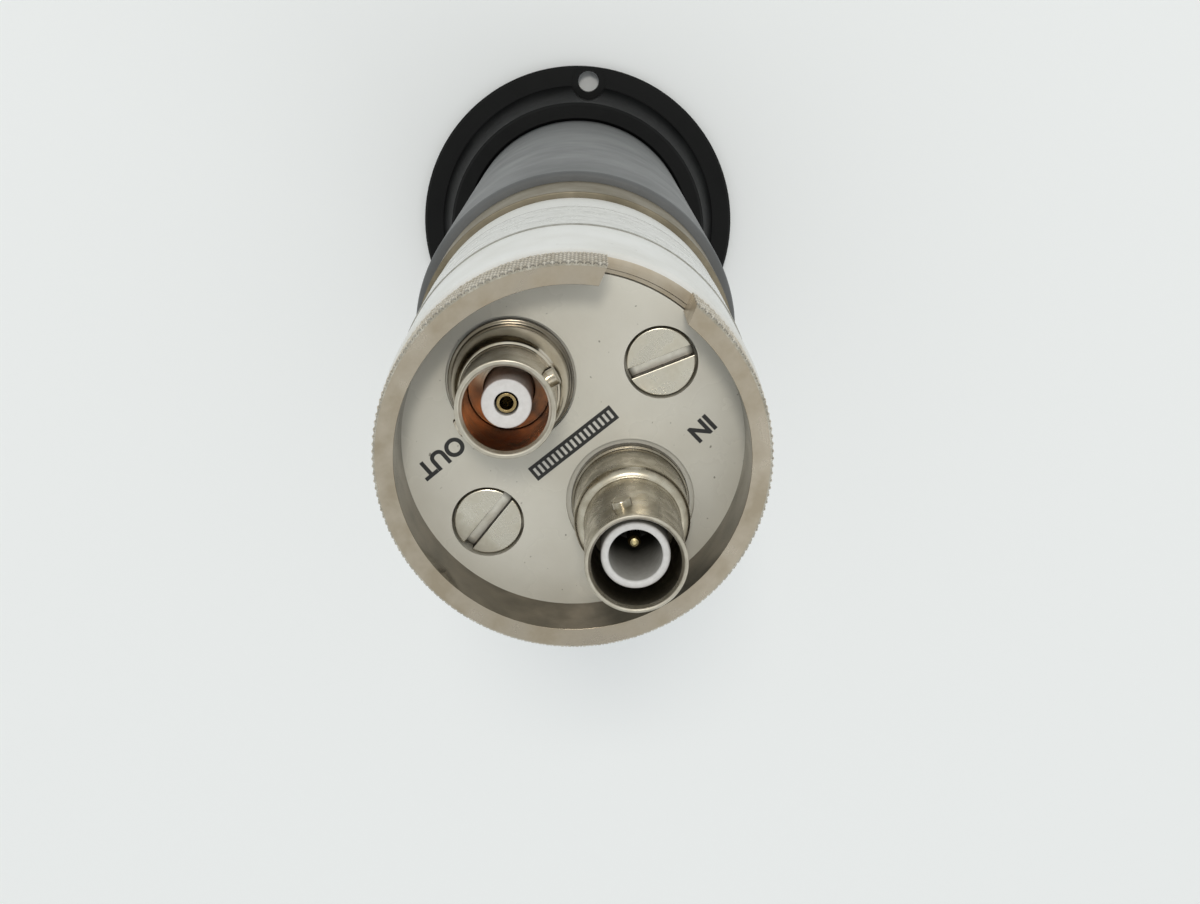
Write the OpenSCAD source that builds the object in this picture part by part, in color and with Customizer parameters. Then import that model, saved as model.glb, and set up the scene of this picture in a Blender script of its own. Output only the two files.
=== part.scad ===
// Photomultiplier tube in its cylindrical housing.
// The housing stands on its front flange, with the two coaxial jacks on top.
// The origin is the centre of the flange's front face and +Z runs along the axis.
// The two plate screws lie on X, the signal jack on -Y and the high voltage jack on +Y.

/* [Front flange] */
// How far the flange plate reaches past the foot of the hub
flange_reach = 3.95; // [3.5:0.05:8]
// Thickness of the flange plate
flange_t = 3.5; // [2.5:0.25:6]
// Height of the tapered hub above the plate
hub_h = 12.5; // [8:0.5:18]
// Wall of the hub at its rear face
hub_wall = 3.55; // [2:0.05:5]
// How much wider the hub is at its foot, on each side
hub_taper = 2.8; // [1:0.1:4]
// Depth of the lip that carries the tube at the front
lip_t = 4; // [3:0.5:6]
// Diameter of the light aperture
aperture_d = 32; // [28:0.5:34]
// Number of fixing holes
fixing_count = 3; // [3:1:6]
// Diameter of each fixing hole
fixing_d = 4.3; // [3.2:0.1:4.5]
// Distance of each hole's centre outside the foot of the hub
fixing_offset = 0.9; // [0.5:0.05:1.2]
// Direction of the first fixing hole
fixing_angle = 222; // [0:1:359]
// Diameter of the seat cut into the hub for a screw head
spot_face_d = 7.2; // [6:0.2:7.8]
// Section of the sealing ring in the front face
face_seal_section = 2; // [1.5:0.1:2.5]
// Mean diameter of the sealing ring in the front face
face_seal_d = 42; // [38:0.5:48]

/* [Body tube] */
// Outside diameter of the body tube
tube_d = 44.7; // [44:0.1:46]
// Wall of the body tube
tube_wall = 1.6; // [1.2:0.1:1.8]
// Length of the body tube
tube_len = 116.3; // [113:0.1:140]

/* [Joint collar] */
// How far the collar between tube and drum stands out from the drum
collar_step = 0.75; // [0.4:0.05:1.2]
// Length of the collar that shows
collar_len = 12.7; // [8:0.1:18]
// Wall of the spigot that enters the drum
spigot_wall = 1.1; // [0.8:0.05:1.3]
// Length of each spigot on the collar
spigot_len = 8; // [5:0.5:10]

/* [Rear drum] */
// Wall of the drum
drum_wall = 1.75; // [1.4:0.05:1.9]
// Length of the drum
drum_len = 44; // [40:0.5:60]
// Width of the band of tape round the drum
tape_w = 16.2; // [8:0.2:20]
// Thickness of the tape
tape_t = 0.15; // [0.1:0.05:0.3]
// Distance from the drum's rear edge to the tape
tape_setback = 17.3; // [10:0.1:22]

/* [Clamp ring] */
// How far the knurl lies inside the outside of the drum
ring_setback = 0.25; // [0.1:0.05:0.8]
// Height of the knurled band
ring_h = 7; // [6:0.1:9]
// How far the ring's lip lies over the edge of the end plate
ring_lip = 0.15; // [0.1:0.05:0.3]
// Wall of the spigot that enters the drum
ring_spigot_wall = 0.4; // [0.3:0.05:0.6]
// Length of that spigot
ring_spigot_len = 3; // [1.5:0.1:3]
// Distance from one knurl diamond to the next round the ring
knurl_pitch = 1.5; // [1.4:0.1:2.5]
// Depth of the knurl
knurl_depth = 0.32; // [0.2:0.02:0.5]
// Rows of half diamonds in the height of the band
knurl_rows = 6; // [4:2:10]
// How far the knurl falls away at both edges of the band
ring_edge = 0.2; // [0.1:0.05:0.4]
// Width of the key slot through the ring
slot_w = 9.4; // [6:0.1:12]
// Direction of the key slot
slot_angle = 202.8; // [0:0.1:359]

/* [End plate] */
// Thickness of the end plate
plate_t = 4.5; // [4:0.1:6]
// Distance of each plate screw from the axis
screw_offset = 12.4; // [12:0.1:13.4]
// Distance of each plate screw from the bore of the ring
screw_margin = 5.35; // [4.8:0.05:5.6]
// Diameter of a plate screw's head
screw_head_d = 7; // [6.4:0.1:7.2]
// Height of a plate screw's head
screw_head_h = 2.6; // [2.2:0.1:2.8]
// Diameter of a plate screw's shank
screw_d = 3.9; // [3:0.1:4]
// Length of a plate screw's shank
screw_len = 9; // [7:0.5:12]
// Width of the slot in a screw head
screw_slot_w = 1.1; // [0.8:0.1:1.4]

/* [Signal jack] */
// Distance of the signal jack from the axis
signal_offset = 9.2; // [9:0.1:9.6]
// Height of the signal jack above the plate
signal_h = 12.1; // [11:0.1:15]
// Outside diameter of the signal jack's barrel
signal_barrel_d = 9.7; // [9.4:0.1:10]
// Bore of the signal jack's barrel
signal_bore_d = 8.3; // [7.8:0.1:8.5]
// Diameter of the signal jack's flange
signal_flange_d = 12.9; // [12:0.1:13]
// Outside diameter of the signal jack's insulator
signal_insulator_d = 4.9; // [4.6:0.1:5.2]
// Direction of the first bayonet lug of the signal jack
signal_lug_angle = 166; // [0:1:359]

/* [High voltage jack] */
// Distance of the high voltage jack from the axis
hv_offset = 8.6; // [8.4:0.1:9.2]
// Height of the high voltage jack above the plate
hv_h = 19.2; // [17:0.1:22]
// Outside diameter of the high voltage jack's barrel
hv_barrel_d = 9.65; // [9.4:0.05:10]
// Bore of the high voltage jack's barrel
hv_bore_d = 8.5; // [8:0.1:8.6]
// Diameter of the high voltage jack's flange
hv_flange_d = 12.3; // [12:0.1:12.8]
// Outside diameter of the high voltage jack's insulator
hv_insulator_d = 6.6; // [6.2:0.1:7]
// Bore of the high voltage jack's insulator
hv_socket_d = 5.1; // [4.8:0.1:5.4]
// Direction of the first bayonet lug of the high voltage jack
hv_lug_angle = 242; // [0:1:359]

/* [Electron tube] */
// Diameter of the glass envelope
envelope_d = 29.5; // [28:0.1:30]
// Length of the glass envelope
envelope_len = 90; // [84:1:92]
// Wall of the glass envelope
envelope_wall = 1.2; // [1:0.1:1.6]
// Number of pins in the stem
pin_count = 12; // [8:2:14]
// Diameter of the circle of pins
pin_circle_d = 14; // [12:0.5:14.5]
// Number of dynodes
dynode_count = 10; // [6:1:12]

/* [Shield and socket] */
// Thickness of the felt between the glass and the magnetic shield
cushion_t = 1.35; // [1:0.05:2]
// Wall of the magnetic shield
shield_wall = 0.8; // [0.5:0.1:1]
// How far the magnetic shield ends in front of the stem
shield_short = 1; // [0.5:0.5:10]
// Thickness of the soft seal in front of the window
front_seal_t = 2; // [1.5:0.5:3]
// Rim of the tube socket outside its screw heads
socket_rim = 0.6; // [0.4:0.1:1]
// Height of the tube socket
socket_h = 10; // [9:0.5:11]

/* [Divider boards] */
// Gap between the two boards and the bore of the collar
board_gap_r = 0.8; // [0.5:0.1:1.2]
// Thickness of each board
board_t = 1.6; // [1:0.1:2]
// Distance from the socket plate to the lower board
lower_board_gap = 9.7; // [8:0.1:11]
// Distance between the boards
board_gap = 26.4; // [24:0.1:27]
// Number of resistors on each side of the pillars
resistor_count = 5; // [3:1:6]

/* [Hidden] */

$fn = 96;
// Running clearance between parts that slide together
slip = 0.1;
// Overshoot of a cutting tool past the face that it cuts
cut = 1;

// Heights of the stack, from the front face of the flange to the rear
hub_z = flange_t + hub_h;
tube_z0 = lip_t;
tube_z1 = tube_z0 + tube_len;
collar_z1 = tube_z1 + collar_len;
drum_z1 = collar_z1 + drum_len;
plate_z1 = drum_z1;
plate_z0 = plate_z1 - plate_t;

// Diameters of the flange, from the body tube outwards
hub_bore_d = tube_d + 2 * slip;
hub_top_d = hub_bore_d + 2 * hub_wall;
hub_base_d = hub_top_d + 2 * hub_taper;
flange_d = hub_base_d + 2 * flange_reach;
fixing_circle_d = hub_base_d + 2 * fixing_offset;

// Diameters of the rear end, from the plate screws outwards
ring_bore_d = 2 * (screw_offset + screw_margin);
plate_boss_d = ring_bore_d + 2 * ring_lip;
ring_spigot_bore_d = plate_boss_d + 2 * slip;
ring_spigot_d = ring_spigot_bore_d + 2 * ring_spigot_wall;
drum_id = ring_spigot_d + 2 * slip;
plate_rim_d = drum_id - 2 * slip;
drum_d = drum_id + 2 * drum_wall;
ring_d = drum_d - 2 * ring_setback;
collar_d = drum_d + 2 * collar_step;

// Diameters inside the collar and the tube
tube_id = tube_d - 2 * tube_wall;
upper_spigot_d = drum_id - 2 * slip;
collar_bore_d = upper_spigot_d - 2 * spigot_wall;
board_d = collar_bore_d - 2 * board_gap_r;

// The end plate's cut-outs
recess_depth = 0.6;
recess_gap = 0.25;
thread_d = 9.4;
head_sink = 0.15;
head_gap = 0.3;
counterbore_d = screw_head_d + 2 * head_gap;
counterbore_z = plate_z1 - head_sink - screw_head_h;

// Rear ends of the jacks, below the plate
washer_t = 0.6;
jack_nut_t = 2.2;
jack_nut_af = 12;
thread_spare = 2.2;
thread_len = plate_t + washer_t + jack_nut_t + thread_spare;
solder_len = 3;

// The tube and what carries it
shield_id = envelope_d + 2 * cushion_t + 2 * slip;
shield_d = shield_id + 2 * shield_wall;
window_z = tube_z0 + front_seal_t;
stem_z = window_z + envelope_len;
stem_t = 3;
shield_z1 = stem_z - shield_short;
pin_d = 1;
pin_reach = 8;
inner_pin_len = 8;
// The pins start on +Y, so that two of them meet the plates of the dynode cage
first_pin_angle = 90;
socket_gap = 0.3;
socket_z0 = stem_z + socket_gap;
socket_z1 = socket_z0 + socket_h;
socket_plate_t = 2;
plate_back_z = socket_z1 + socket_plate_t;
lower_z0 = plate_back_z + lower_board_gap;
lower_z1 = lower_z0 + board_t;
upper_z0 = lower_z1 + board_gap;
upper_z1 = upper_z0 + board_t;

pillar_d = 7;
stud_d = 2.8;
stud_len = 5;
stud_hole_d = stud_d + 2 * slip;

// Screws that hold the socket and its plate to the front pillars
socket_head_d = 5.6;
socket_d = 2 * (screw_offset + socket_rim) + socket_head_d;
socket_head_h = 1.6;
socket_head_sink = 2;
screw_grip = 3;
socket_screw_len = socket_h - socket_head_sink + socket_plate_t + screw_grip;

module ring_solid(outer_d, inner_d, z0, z1) {
    translate([0, 0, z0])
        difference() {
            cylinder(d = outer_d, h = z1 - z0);
            translate([0, 0, -cut])
                cylinder(d = inner_d, h = z1 - z0 + 2 * cut);
        }
}

module round_array(count, radius, start = 0) {
    for (i = [0:count - 1])
        rotate([0, 0, start + i * 360 / count])
            translate([radius, 0, 0])
                children();
}

module at_screws() {
    for (side = [-1, 1])
        translate([side * screw_offset, 0, 0])
            children();
}

// The flange and its tapered hub, turned in one piece
module front_flange() {
    groove_w = face_seal_section + 2 * slip;
    spot_sink = 0.2;
    edge = 0.5;
    color("#1c1c1e")
        difference() {
            rotate_extrude()
                polygon([
                    [aperture_d / 2, 0],
                    [flange_d / 2 - edge, 0],
                    [flange_d / 2, edge],
                    [flange_d / 2, flange_t - edge],
                    [flange_d / 2 - edge, flange_t],
                    [hub_base_d / 2, flange_t],
                    [hub_top_d / 2, hub_z - edge],
                    [hub_top_d / 2 - edge, hub_z],
                    [hub_bore_d / 2 + edge, hub_z],
                    [hub_bore_d / 2, hub_z - edge],
                    [hub_bore_d / 2, lip_t],
                    [aperture_d / 2, lip_t]
                ]);
            round_array(fixing_count, fixing_circle_d / 2, fixing_angle)
                rotate_extrude()
                    polygon([
                        [0, -cut],
                        [fixing_d / 2, -cut],
                        [fixing_d / 2, flange_t - spot_sink],
                        [spot_face_d / 2, flange_t - spot_sink],
                        [spot_face_d / 2, hub_z + cut],
                        [0, hub_z + cut]
                    ]);
            ring_solid(face_seal_d + groove_w, face_seal_d - groove_w, -cut, face_seal_section);
        }
}

// The sealing ring, flush with the front face when it is clamped
module face_seal() {
    color("#161616")
        translate([0, 0, face_seal_section / 2])
            rotate_extrude()
                translate([face_seal_d / 2, 0])
                    circle(d = face_seal_section, $fn = 32);
}

// A soft ring that hides the gap round the window
module front_light_seal() {
    window_overlap = 1.75;
    seal_bore_d = envelope_d - 2 * window_overlap;
    color("#202020")
        ring_solid(tube_id - 4 * slip, seal_bore_d, tube_z0, window_z);
}

module body_tube() {
    color("#8a8a88")
        ring_solid(tube_d, tube_id, tube_z0, tube_z1);
}

module magnetic_shield() {
    color("#9c9a94")
        ring_solid(shield_d, shield_id, window_z, shield_z1);
}

// Felt rings that centre the shield in the body tube
module shield_rings() {
    ring_w = 7;
    front_inset = 10;
    rear_inset = 7;
    first_z = window_z + front_inset;
    last_z = shield_z1 - rear_inset - ring_w;
    color("#3b3b3b")
        for (z = [first_z, last_z])
            ring_solid(tube_id - 2 * slip, shield_d + 2 * slip, z, z + ring_w);
}

// Felt rings that centre the glass in the shield
module tube_cushions() {
    cushion_w = 5;
    front_inset = 8;
    rear_inset = 9;
    first_z = window_z + front_inset;
    last_z = stem_z - rear_inset - cushion_w;
    color("#5a5a52")
        for (z = [first_z, last_z])
            ring_solid(shield_id, envelope_d + 2 * slip, z, z + cushion_w);
}

// Blown glass: a flat window, a straight wall and a pressed stem
module glass_envelope() {
    window_t = 1.6;
    window_edge = 0.4;
    corner = 1.5;
    r = envelope_d / 2;
    color("#cfe0e4", 0.5)
        difference() {
            translate([0, 0, window_z])
                rotate_extrude()
                    polygon([
                        [0, 0],
                        [r - window_edge, 0],
                        [r, window_edge],
                        [r, envelope_len - corner],
                        [r - corner, envelope_len],
                        [0, envelope_len],
                        [0, envelope_len - stem_t],
                        [r - envelope_wall, envelope_len - stem_t],
                        [r - envelope_wall, window_t],
                        [0, window_t]
                    ]);
            round_array(pin_count, pin_circle_d / 2, first_pin_angle)
                translate([0, 0, stem_z - stem_t - cut])
                    cylinder(d = pin_d + slip / 2, h = stem_t + 2 * cut, $fn = 24);
        }
}

// The dynode section hangs between two ceramic plates on the stem pins
cage_w = 17;
cage_gap = pin_circle_d;
cage_plate_t = 0.8;
dynode_rise = 2.9;
first_dynode = 2.4;
cage_end = 5;
cage_z1 = stem_z - stem_t - inner_pin_len;
cage_z0 = cage_z1 - dynode_count * dynode_rise - cage_end;

// The cup in front of the dynodes, with the hole that the electrons enter by
module focus_cup() {
    cup_wall = 0.4;
    cup_h = 9;
    rim_gap = 0.6;
    rim_d = envelope_d - 2 * envelope_wall - 2 * rim_gap;
    neck_d = cage_w;
    hole_d = 8;
    color("#b9b6ad")
        translate([0, 0, cage_z0])
            rotate_extrude()
                polygon([
                    [hole_d / 2, 0],
                    [neck_d / 2, 0],
                    [rim_d / 2, -cup_h / 2],
                    [rim_d / 2, -cup_h],
                    [rim_d / 2 - cup_wall, -cup_h],
                    [rim_d / 2 - cup_wall, -cup_h / 2 - cup_wall / 4],
                    [neck_d / 2 - cup_wall / 2, -cup_wall],
                    [hole_d / 2, -cup_wall]
                ]);
}

function arc(r, from, to, steps) = [for (i = [0:steps]) r * [cos(from + (to - from) * i / steps),
    sin(from + (to - from) * i / steps)]];

// Each dynode is a quarter of a thin cylinder, turned to face the one before it
module dynode() {
    blade_r = 3.4;
    blade_t = 0.4;
    steps = 6;
    points = concat(arc(blade_r, 0, 90, steps), arc(blade_r - blade_t, 90, 0, steps));
    rotate([90, 0, 0])
        linear_extrude(height = cage_gap, center = true)
            polygon(points);
}

module dynodes() {
    inset = 1.2;
    color("#c8c2ae")
        for (i = [0:dynode_count - 1])
            translate([0, 0, cage_z0 + first_dynode + i * dynode_rise])
                mirror([i % 2, 0, 0])
                    translate([inset, 0, 0])
                        dynode();
}

module dynode_supports() {
    color("#e6e2d8")
        for (side = [0, 1])
            mirror([0, side, 0])
                translate([-cage_w / 2, cage_gap / 2, cage_z0])
                    cube([cage_w, cage_plate_t, cage_z1 - cage_z0]);
}

// Pins through the stem, whose inner ends carry the cage
module stem_pins() {
    color("#c9c4b4")
        round_array(pin_count, pin_circle_d / 2, first_pin_angle)
            translate([0, 0, cage_z1])
                cylinder(d = pin_d, h = inner_pin_len + stem_t + pin_reach, $fn = 24);
}

module tube_socket() {
    hole_d = pin_d + 2 * slip;
    key_d = 5;
    color("#2c2622")
        difference() {
            translate([0, 0, socket_z0])
                cylinder(d = socket_d, h = socket_h);
            at_screws() {
                translate([0, 0, socket_z0 - cut])
                    cylinder(d = socket_head_d + 2 * slip, h = socket_head_sink + cut, $fn = 32);
                translate([0, 0, socket_z0 - cut])
                    cylinder(d = stud_hole_d, h = socket_h + 2 * cut, $fn = 32);
            }
            round_array(pin_count, pin_circle_d / 2, first_pin_angle)
                translate([0, 0, socket_z0 - cut])
                    cylinder(d = hole_d, h = pin_reach + cut, $fn = 24);
            translate([0, 0, socket_z0 - cut])
                cylinder(d = key_d, h = pin_reach + cut);
        }
}

module socket_tags() {
    tag_w = 1.6;
    tag_t = 0.4;
    tag_h = 5;
    color("#b8b09a")
        round_array(pin_count, pin_circle_d / 2, first_pin_angle)
            translate([-tag_t / 2, -tag_w / 2, socket_z1])
                cube([tag_t, tag_w, tag_h]);
}

// Round plate with the two screw holes that the pillars line up on
module pillar_plate(z, thickness, hole_d) {
    translate([0, 0, z])
        difference() {
            cylinder(d = board_d, h = thickness);
            at_screws()
                translate([0, 0, -cut])
                    cylinder(d = hole_d, h = thickness + 2 * cut, $fn = 32);
        }
}

module socket_plate() {
    pillar_margin = 0.3;
    tag_clearance_d = 2 * (screw_offset - pillar_margin) - pillar_d;
    color("#a9a8a2")
        difference() {
            pillar_plate(socket_z1, socket_plate_t, stud_hole_d);
            translate([0, 0, socket_z1 - cut])
                cylinder(d = tag_clearance_d, h = socket_plate_t + 2 * cut);
        }
}

module pillar(z0, z1, bore_d, bore_len) {
    translate([0, 0, z0])
        difference() {
            cylinder(d = pillar_d, h = z1 - z0, $fn = 48);
            translate([0, 0, z1 - z0 - bore_len])
                cylinder(d = bore_d, h = bore_len + cut, $fn = 32);
        }
}

module stud(z1) {
    translate([0, 0, z1 - stud_len])
        cylinder(d = stud_d, h = stud_len, $fn = 32);
}

// The front pillars take a screw from below and the studs of the middle pillars from above
module front_pillars() {
    color("#c2b27a")
        at_screws()
            difference() {
                pillar(plate_back_z, lower_z0, stud_hole_d, stud_len - board_t + 2 * slip);
                translate([0, 0, plate_back_z - cut])
                    cylinder(d = stud_hole_d, h = screw_grip + 2 * slip + cut, $fn = 32);
            }
}

// These screws pass the socket and its plate into the front pillars
module socket_screws() {
    color("#b4b0a6")
        at_screws()
            translate([0, 0, socket_z0 + socket_head_sink]) {
                translate([0, 0, -socket_head_h])
                    cylinder(d = socket_head_d, h = socket_head_h, $fn = 32);
                cylinder(d = stud_d, h = socket_screw_len, $fn = 32);
            }
}

module lower_board() {
    color("#5d7a3c")
        pillar_plate(lower_z0, board_t, stud_hole_d);
}

module middle_pillars() {
    color("#c2b27a")
        at_screws() {
            pillar(lower_z1, upper_z0, stud_hole_d, stud_len - board_t + 2 * slip);
            stud(lower_z1 + cut);
        }
}

module upper_board() {
    color("#5d7a3c")
        pillar_plate(upper_z0, board_t, stud_hole_d);
}

module rear_pillars() {
    color("#c2b27a")
        at_screws() {
            pillar(upper_z1, plate_z0, screw_d + slip, screw_len);
            stud(upper_z1 + cut);
        }
}

// Axial resistors stand between the boards on both sides of the pillars
module divider_resistors() {
    body_d = 2.6;
    body_len = 9;
    body_taper = 0.5;
    wire_d = 0.6;
    span_angle = 100;
    step_angle = span_angle / (resistor_count - 1);
    rim_gap = 5;
    color("#b58a55")
        for (side = [90, 270], i = [0:resistor_count - 1])
            rotate([0, 0, side - span_angle / 2 + i * step_angle])
                translate([board_d / 2 - rim_gap, 0, lower_z1])
                    rotate_extrude($fn = 24)
                        polygon([
                            [0, 0],
                            [wire_d / 2, 0],
                            [wire_d / 2, (board_gap - body_len) / 2],
                            [body_d / 2, (board_gap - body_len) / 2 + body_taper],
                            [body_d / 2, (board_gap + body_len) / 2 - body_taper],
                            [wire_d / 2, (board_gap + body_len) / 2],
                            [wire_d / 2, board_gap],
                            [0, board_gap]
                        ]);
}

module divider_capacitors() {
    disc_d = 7;
    disc_t = 2.4;
    wire_d = 0.6;
    leg = 4;
    spacing = 4.6;
    color("#c77b2f")
        for (i = [-1:1])
            translate([0, i * spacing, lower_z1]) {
                translate([0, disc_t / 2, leg + disc_d / 2])
                    rotate([90, 0, 0])
                        cylinder(d = disc_d, h = disc_t, $fn = 32);
                for (side = [-1, 1])
                    translate([side * disc_d / 4, 0, 0])
                        cylinder(d = wire_d, h = leg + disc_d / 4, $fn = 16);
            }
}

// A smooth run in the YZ plane between a point behind a jack and a point on the upper board
function run_point(p, q, t) = let (s = (3 - 2 * t) * t * t)
    [0, p[0] + (q[0] - p[0]) * s, p[1] + (q[1] - p[1]) * t];

function run_tangent(p, q, t) = let (d = [0, 6 * t * (1 - t) * (q[0] - p[0]), q[1] - p[1]])
    d / norm(d);

module lead(p, q, d) {
    sides = 8;
    rings = 20;
    across = [1, 0, 0];
    points = [for (i = [0:rings]) for (k = [0:sides - 1])
        let (t = i / rings, a = 360 * k / sides, upright = cross(run_tangent(p, q, t), across))
        run_point(p, q, t) + d / 2 * (cos(a) * across + sin(a) * upright)];
    walls = [for (i = [0:rings - 1]) for (k = [0:sides - 1])
        let (m = (k + 1) % sides)
        [i * sides + k, i * sides + m, (i + 1) * sides + m, (i + 1) * sides + k]];
    first = [for (k = [0:sides - 1]) sides - 1 - k];
    last = [for (k = [0:sides - 1]) rings * sides + k];
    polyhedron(points = points, faces = concat(walls, [first], [last]), convexity = 4);
}

lead_land = 4.5;
lead_z = plate_z1 - thread_len - solder_len;

module signal_lead() {
    cable_d = 2.4;
    color("#d8d4c8")
        lead([-signal_offset, lead_z], [-lead_land, upper_z1], cable_d);
}

module hv_lead() {
    cable_d = 2.8;
    color("#a8322a")
        lead([hv_offset, lead_z], [lead_land, upper_z1], cable_d);
}

// Turned collar: one spigot enters the body tube and the other the drum
module joint_collar() {
    edge = 0.3;
    lower_d = tube_id - 2 * slip;
    color("#7c7466")
        rotate_extrude()
            polygon([
                [collar_bore_d / 2, tube_z1 - spigot_len],
                [lower_d / 2, tube_z1 - spigot_len],
                [lower_d / 2, tube_z1],
                [collar_d / 2 - edge, tube_z1],
                [collar_d / 2, tube_z1 + edge],
                [collar_d / 2, collar_z1 - edge],
                [collar_d / 2 - edge, collar_z1],
                [upper_spigot_d / 2, collar_z1],
                [upper_spigot_d / 2, collar_z1 + spigot_len],
                [collar_bore_d / 2, collar_z1 + spigot_len]
            ]);
}

module rear_drum() {
    front_edge = 0.4;
    rear_edge = 0.6;
    color("#e4e4e0")
        rotate_extrude()
            polygon([
                [drum_id / 2, collar_z1],
                [drum_d / 2 - front_edge, collar_z1],
                [drum_d / 2, collar_z1 + front_edge],
                [drum_d / 2, drum_z1 - rear_edge],
                [drum_d / 2 - rear_edge, drum_z1],
                [drum_id / 2, drum_z1]
            ]);
}

module tape_band() {
    tape_z1 = drum_z1 - tape_setback;
    color("#d9d8d0")
        ring_solid(drum_d + 2 * tape_t, drum_d, tape_z1 - tape_w, tape_z1);
}

// Points of the knurl alternate between a diamond's tip and a groove crossing, and fall away at both edges
knurl_count = round(PI * ring_d / knurl_pitch);
knurl_columns = 2 * knurl_count;

function knurl_radius(i, j) = ring_d / 2 - (j == 0 || j == knurl_rows ? knurl_depth + ring_edge
    : (i + j) % 2 == 0 ? knurl_depth : 0);

function knurl_point(i, j) = let (r = knurl_radius(i, j), a = 360 * i / knurl_columns)
    [r * cos(a), r * sin(a), ring_h * j / knurl_rows];

function knurl_index(i, j) = j * knurl_columns + (i + knurl_columns) % knurl_columns;

// A disc whose rim is crossed by two sets of grooves, four small faces to a diamond
module knurled_disc() {
    last = knurl_columns - 1;
    points = [for (j = [0:knurl_rows]) for (i = [0:last]) knurl_point(i, j)];
    upper = [for (j = [0:knurl_rows - 1]) for (i = [0:last]) if ((i + j) % 2 == 1)
        each [
            [knurl_index(i, j), knurl_index(i, j + 1), knurl_index(i + 1, j)],
            [knurl_index(i, j), knurl_index(i - 1, j), knurl_index(i, j + 1)]
        ]];
    lower = [for (j = [1:knurl_rows]) for (i = [0:last]) if ((i + j) % 2 == 1)
        each [
            [knurl_index(i, j), knurl_index(i + 1, j), knurl_index(i, j - 1)],
            [knurl_index(i, j), knurl_index(i, j - 1), knurl_index(i - 1, j)]
        ]];
    base = [for (i = [0:last]) knurl_index(i, 0)];
    top = [for (i = [0:last]) knurl_index(last - i, knurl_rows)];
    polyhedron(points = points, faces = concat(upper, lower, [base], [top]), convexity = 2);
}

// The ring seats on the end of the drum, its spigot round the boss of the end plate
module clamp_ring() {
    slot_sink = 0.4;
    color("#9a9486")
        difference() {
            union() {
                translate([0, 0, drum_z1])
                    knurled_disc();
                translate([0, 0, drum_z1 - ring_spigot_len])
                    cylinder(d = ring_spigot_d, h = ring_spigot_len + ring_h / 2);
            }
            translate([0, 0, drum_z1 - ring_spigot_len - cut])
                cylinder(d = ring_spigot_bore_d, h = ring_spigot_len + cut);
            translate([0, 0, drum_z1 - cut])
                cylinder(d = ring_bore_d, h = ring_h + 2 * cut);
            rotate([0, 0, slot_angle])
                translate([0, -slot_w / 2, drum_z1 - slot_sink])
                    cube([ring_d, slot_w, ring_h + slot_sink + cut]);
        }
}

// Both jacks sit in recesses of one size, which clears the wider flange
module jack_hole() {
    recess_d = max(signal_flange_d, hv_flange_d) + 2 * recess_gap;
    translate([0, 0, plate_z0 - cut])
        cylinder(d = thread_d + 2 * slip, h = plate_t + 2 * cut);
    translate([0, 0, plate_z1 - recess_depth])
        cylinder(d = recess_d, h = recess_depth + cut);
}

// Stepped plate: the rim fits the drum and the boss rises through the ring's spigot
module end_plate() {
    rim_t = plate_t - ring_spigot_len;
    color("#bebcaf")
        difference() {
            translate([0, 0, plate_z0])
                rotate_extrude()
                    polygon([
                        [0, 0],
                        [plate_rim_d / 2, 0],
                        [plate_rim_d / 2, rim_t],
                        [plate_boss_d / 2, rim_t],
                        [plate_boss_d / 2, plate_t],
                        [0, plate_t]
                    ]);
            translate([0, -signal_offset, 0])
                jack_hole();
            translate([0, hv_offset, 0])
                jack_hole();
            at_screws() {
                translate([0, 0, counterbore_z])
                    cylinder(d = counterbore_d, h = plate_t);
                translate([0, 0, plate_z0 - cut])
                    cylinder(d = screw_d + 4 * slip, h = plate_t);
            }
        }
}

// Slotted cheese heads, sunk just below the face of the plate
module plate_screws() {
    slot_depth = screw_head_h / 2;
    slot_turn = [8, -22];
    edge = 0.2;
    r = screw_head_d / 2;
    color("#b4b1a6")
        for (i = [0, 1])
            translate([(i == 0 ? 1 : -1) * screw_offset, 0, counterbore_z])
                difference() {
                    rotate_extrude()
                        polygon([
                            [0, -screw_len],
                            [screw_d / 2, -screw_len],
                            [screw_d / 2, 0],
                            [r, 0],
                            [r, screw_head_h - edge],
                            [r - edge, screw_head_h],
                            [0, screw_head_h]
                        ]);
                    rotate([0, 0, slot_turn[i]])
                        translate([-screw_head_d, -screw_slot_w / 2, screw_head_h - slot_depth])
                            cube([2 * screw_head_d, screw_slot_w, slot_depth + cut]);
                }
}

// Two lugs stand out of a barrel, opposite each other
module lugs(barrel_d, z, angle) {
    lug_d = 2;
    lug_reach = 0.65;
    lug_root = 0.4;
    for (turn = [0, 180])
        rotate([0, 0, angle + turn])
            translate([barrel_d / 2 - lug_root, 0, z])
                rotate([0, 90, 0])
                    cylinder(d = lug_d, h = lug_reach + lug_root, $fn = 32);
}

lug_setback = 3.4;
signal_cavity = 8.5;
signal_front_gap = 2.4;
signal_shoulder_z = 5.2;

// Profile points of a convex shoulder between a wide base and a narrow top
function shoulder(r0, z0, r1, z1, steps) = [for (i = [0:steps])
    [r1 + (r0 - r1) * cos(90 * i / steps), z0 + (z1 - z0) * sin(90 * i / steps)]];

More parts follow.
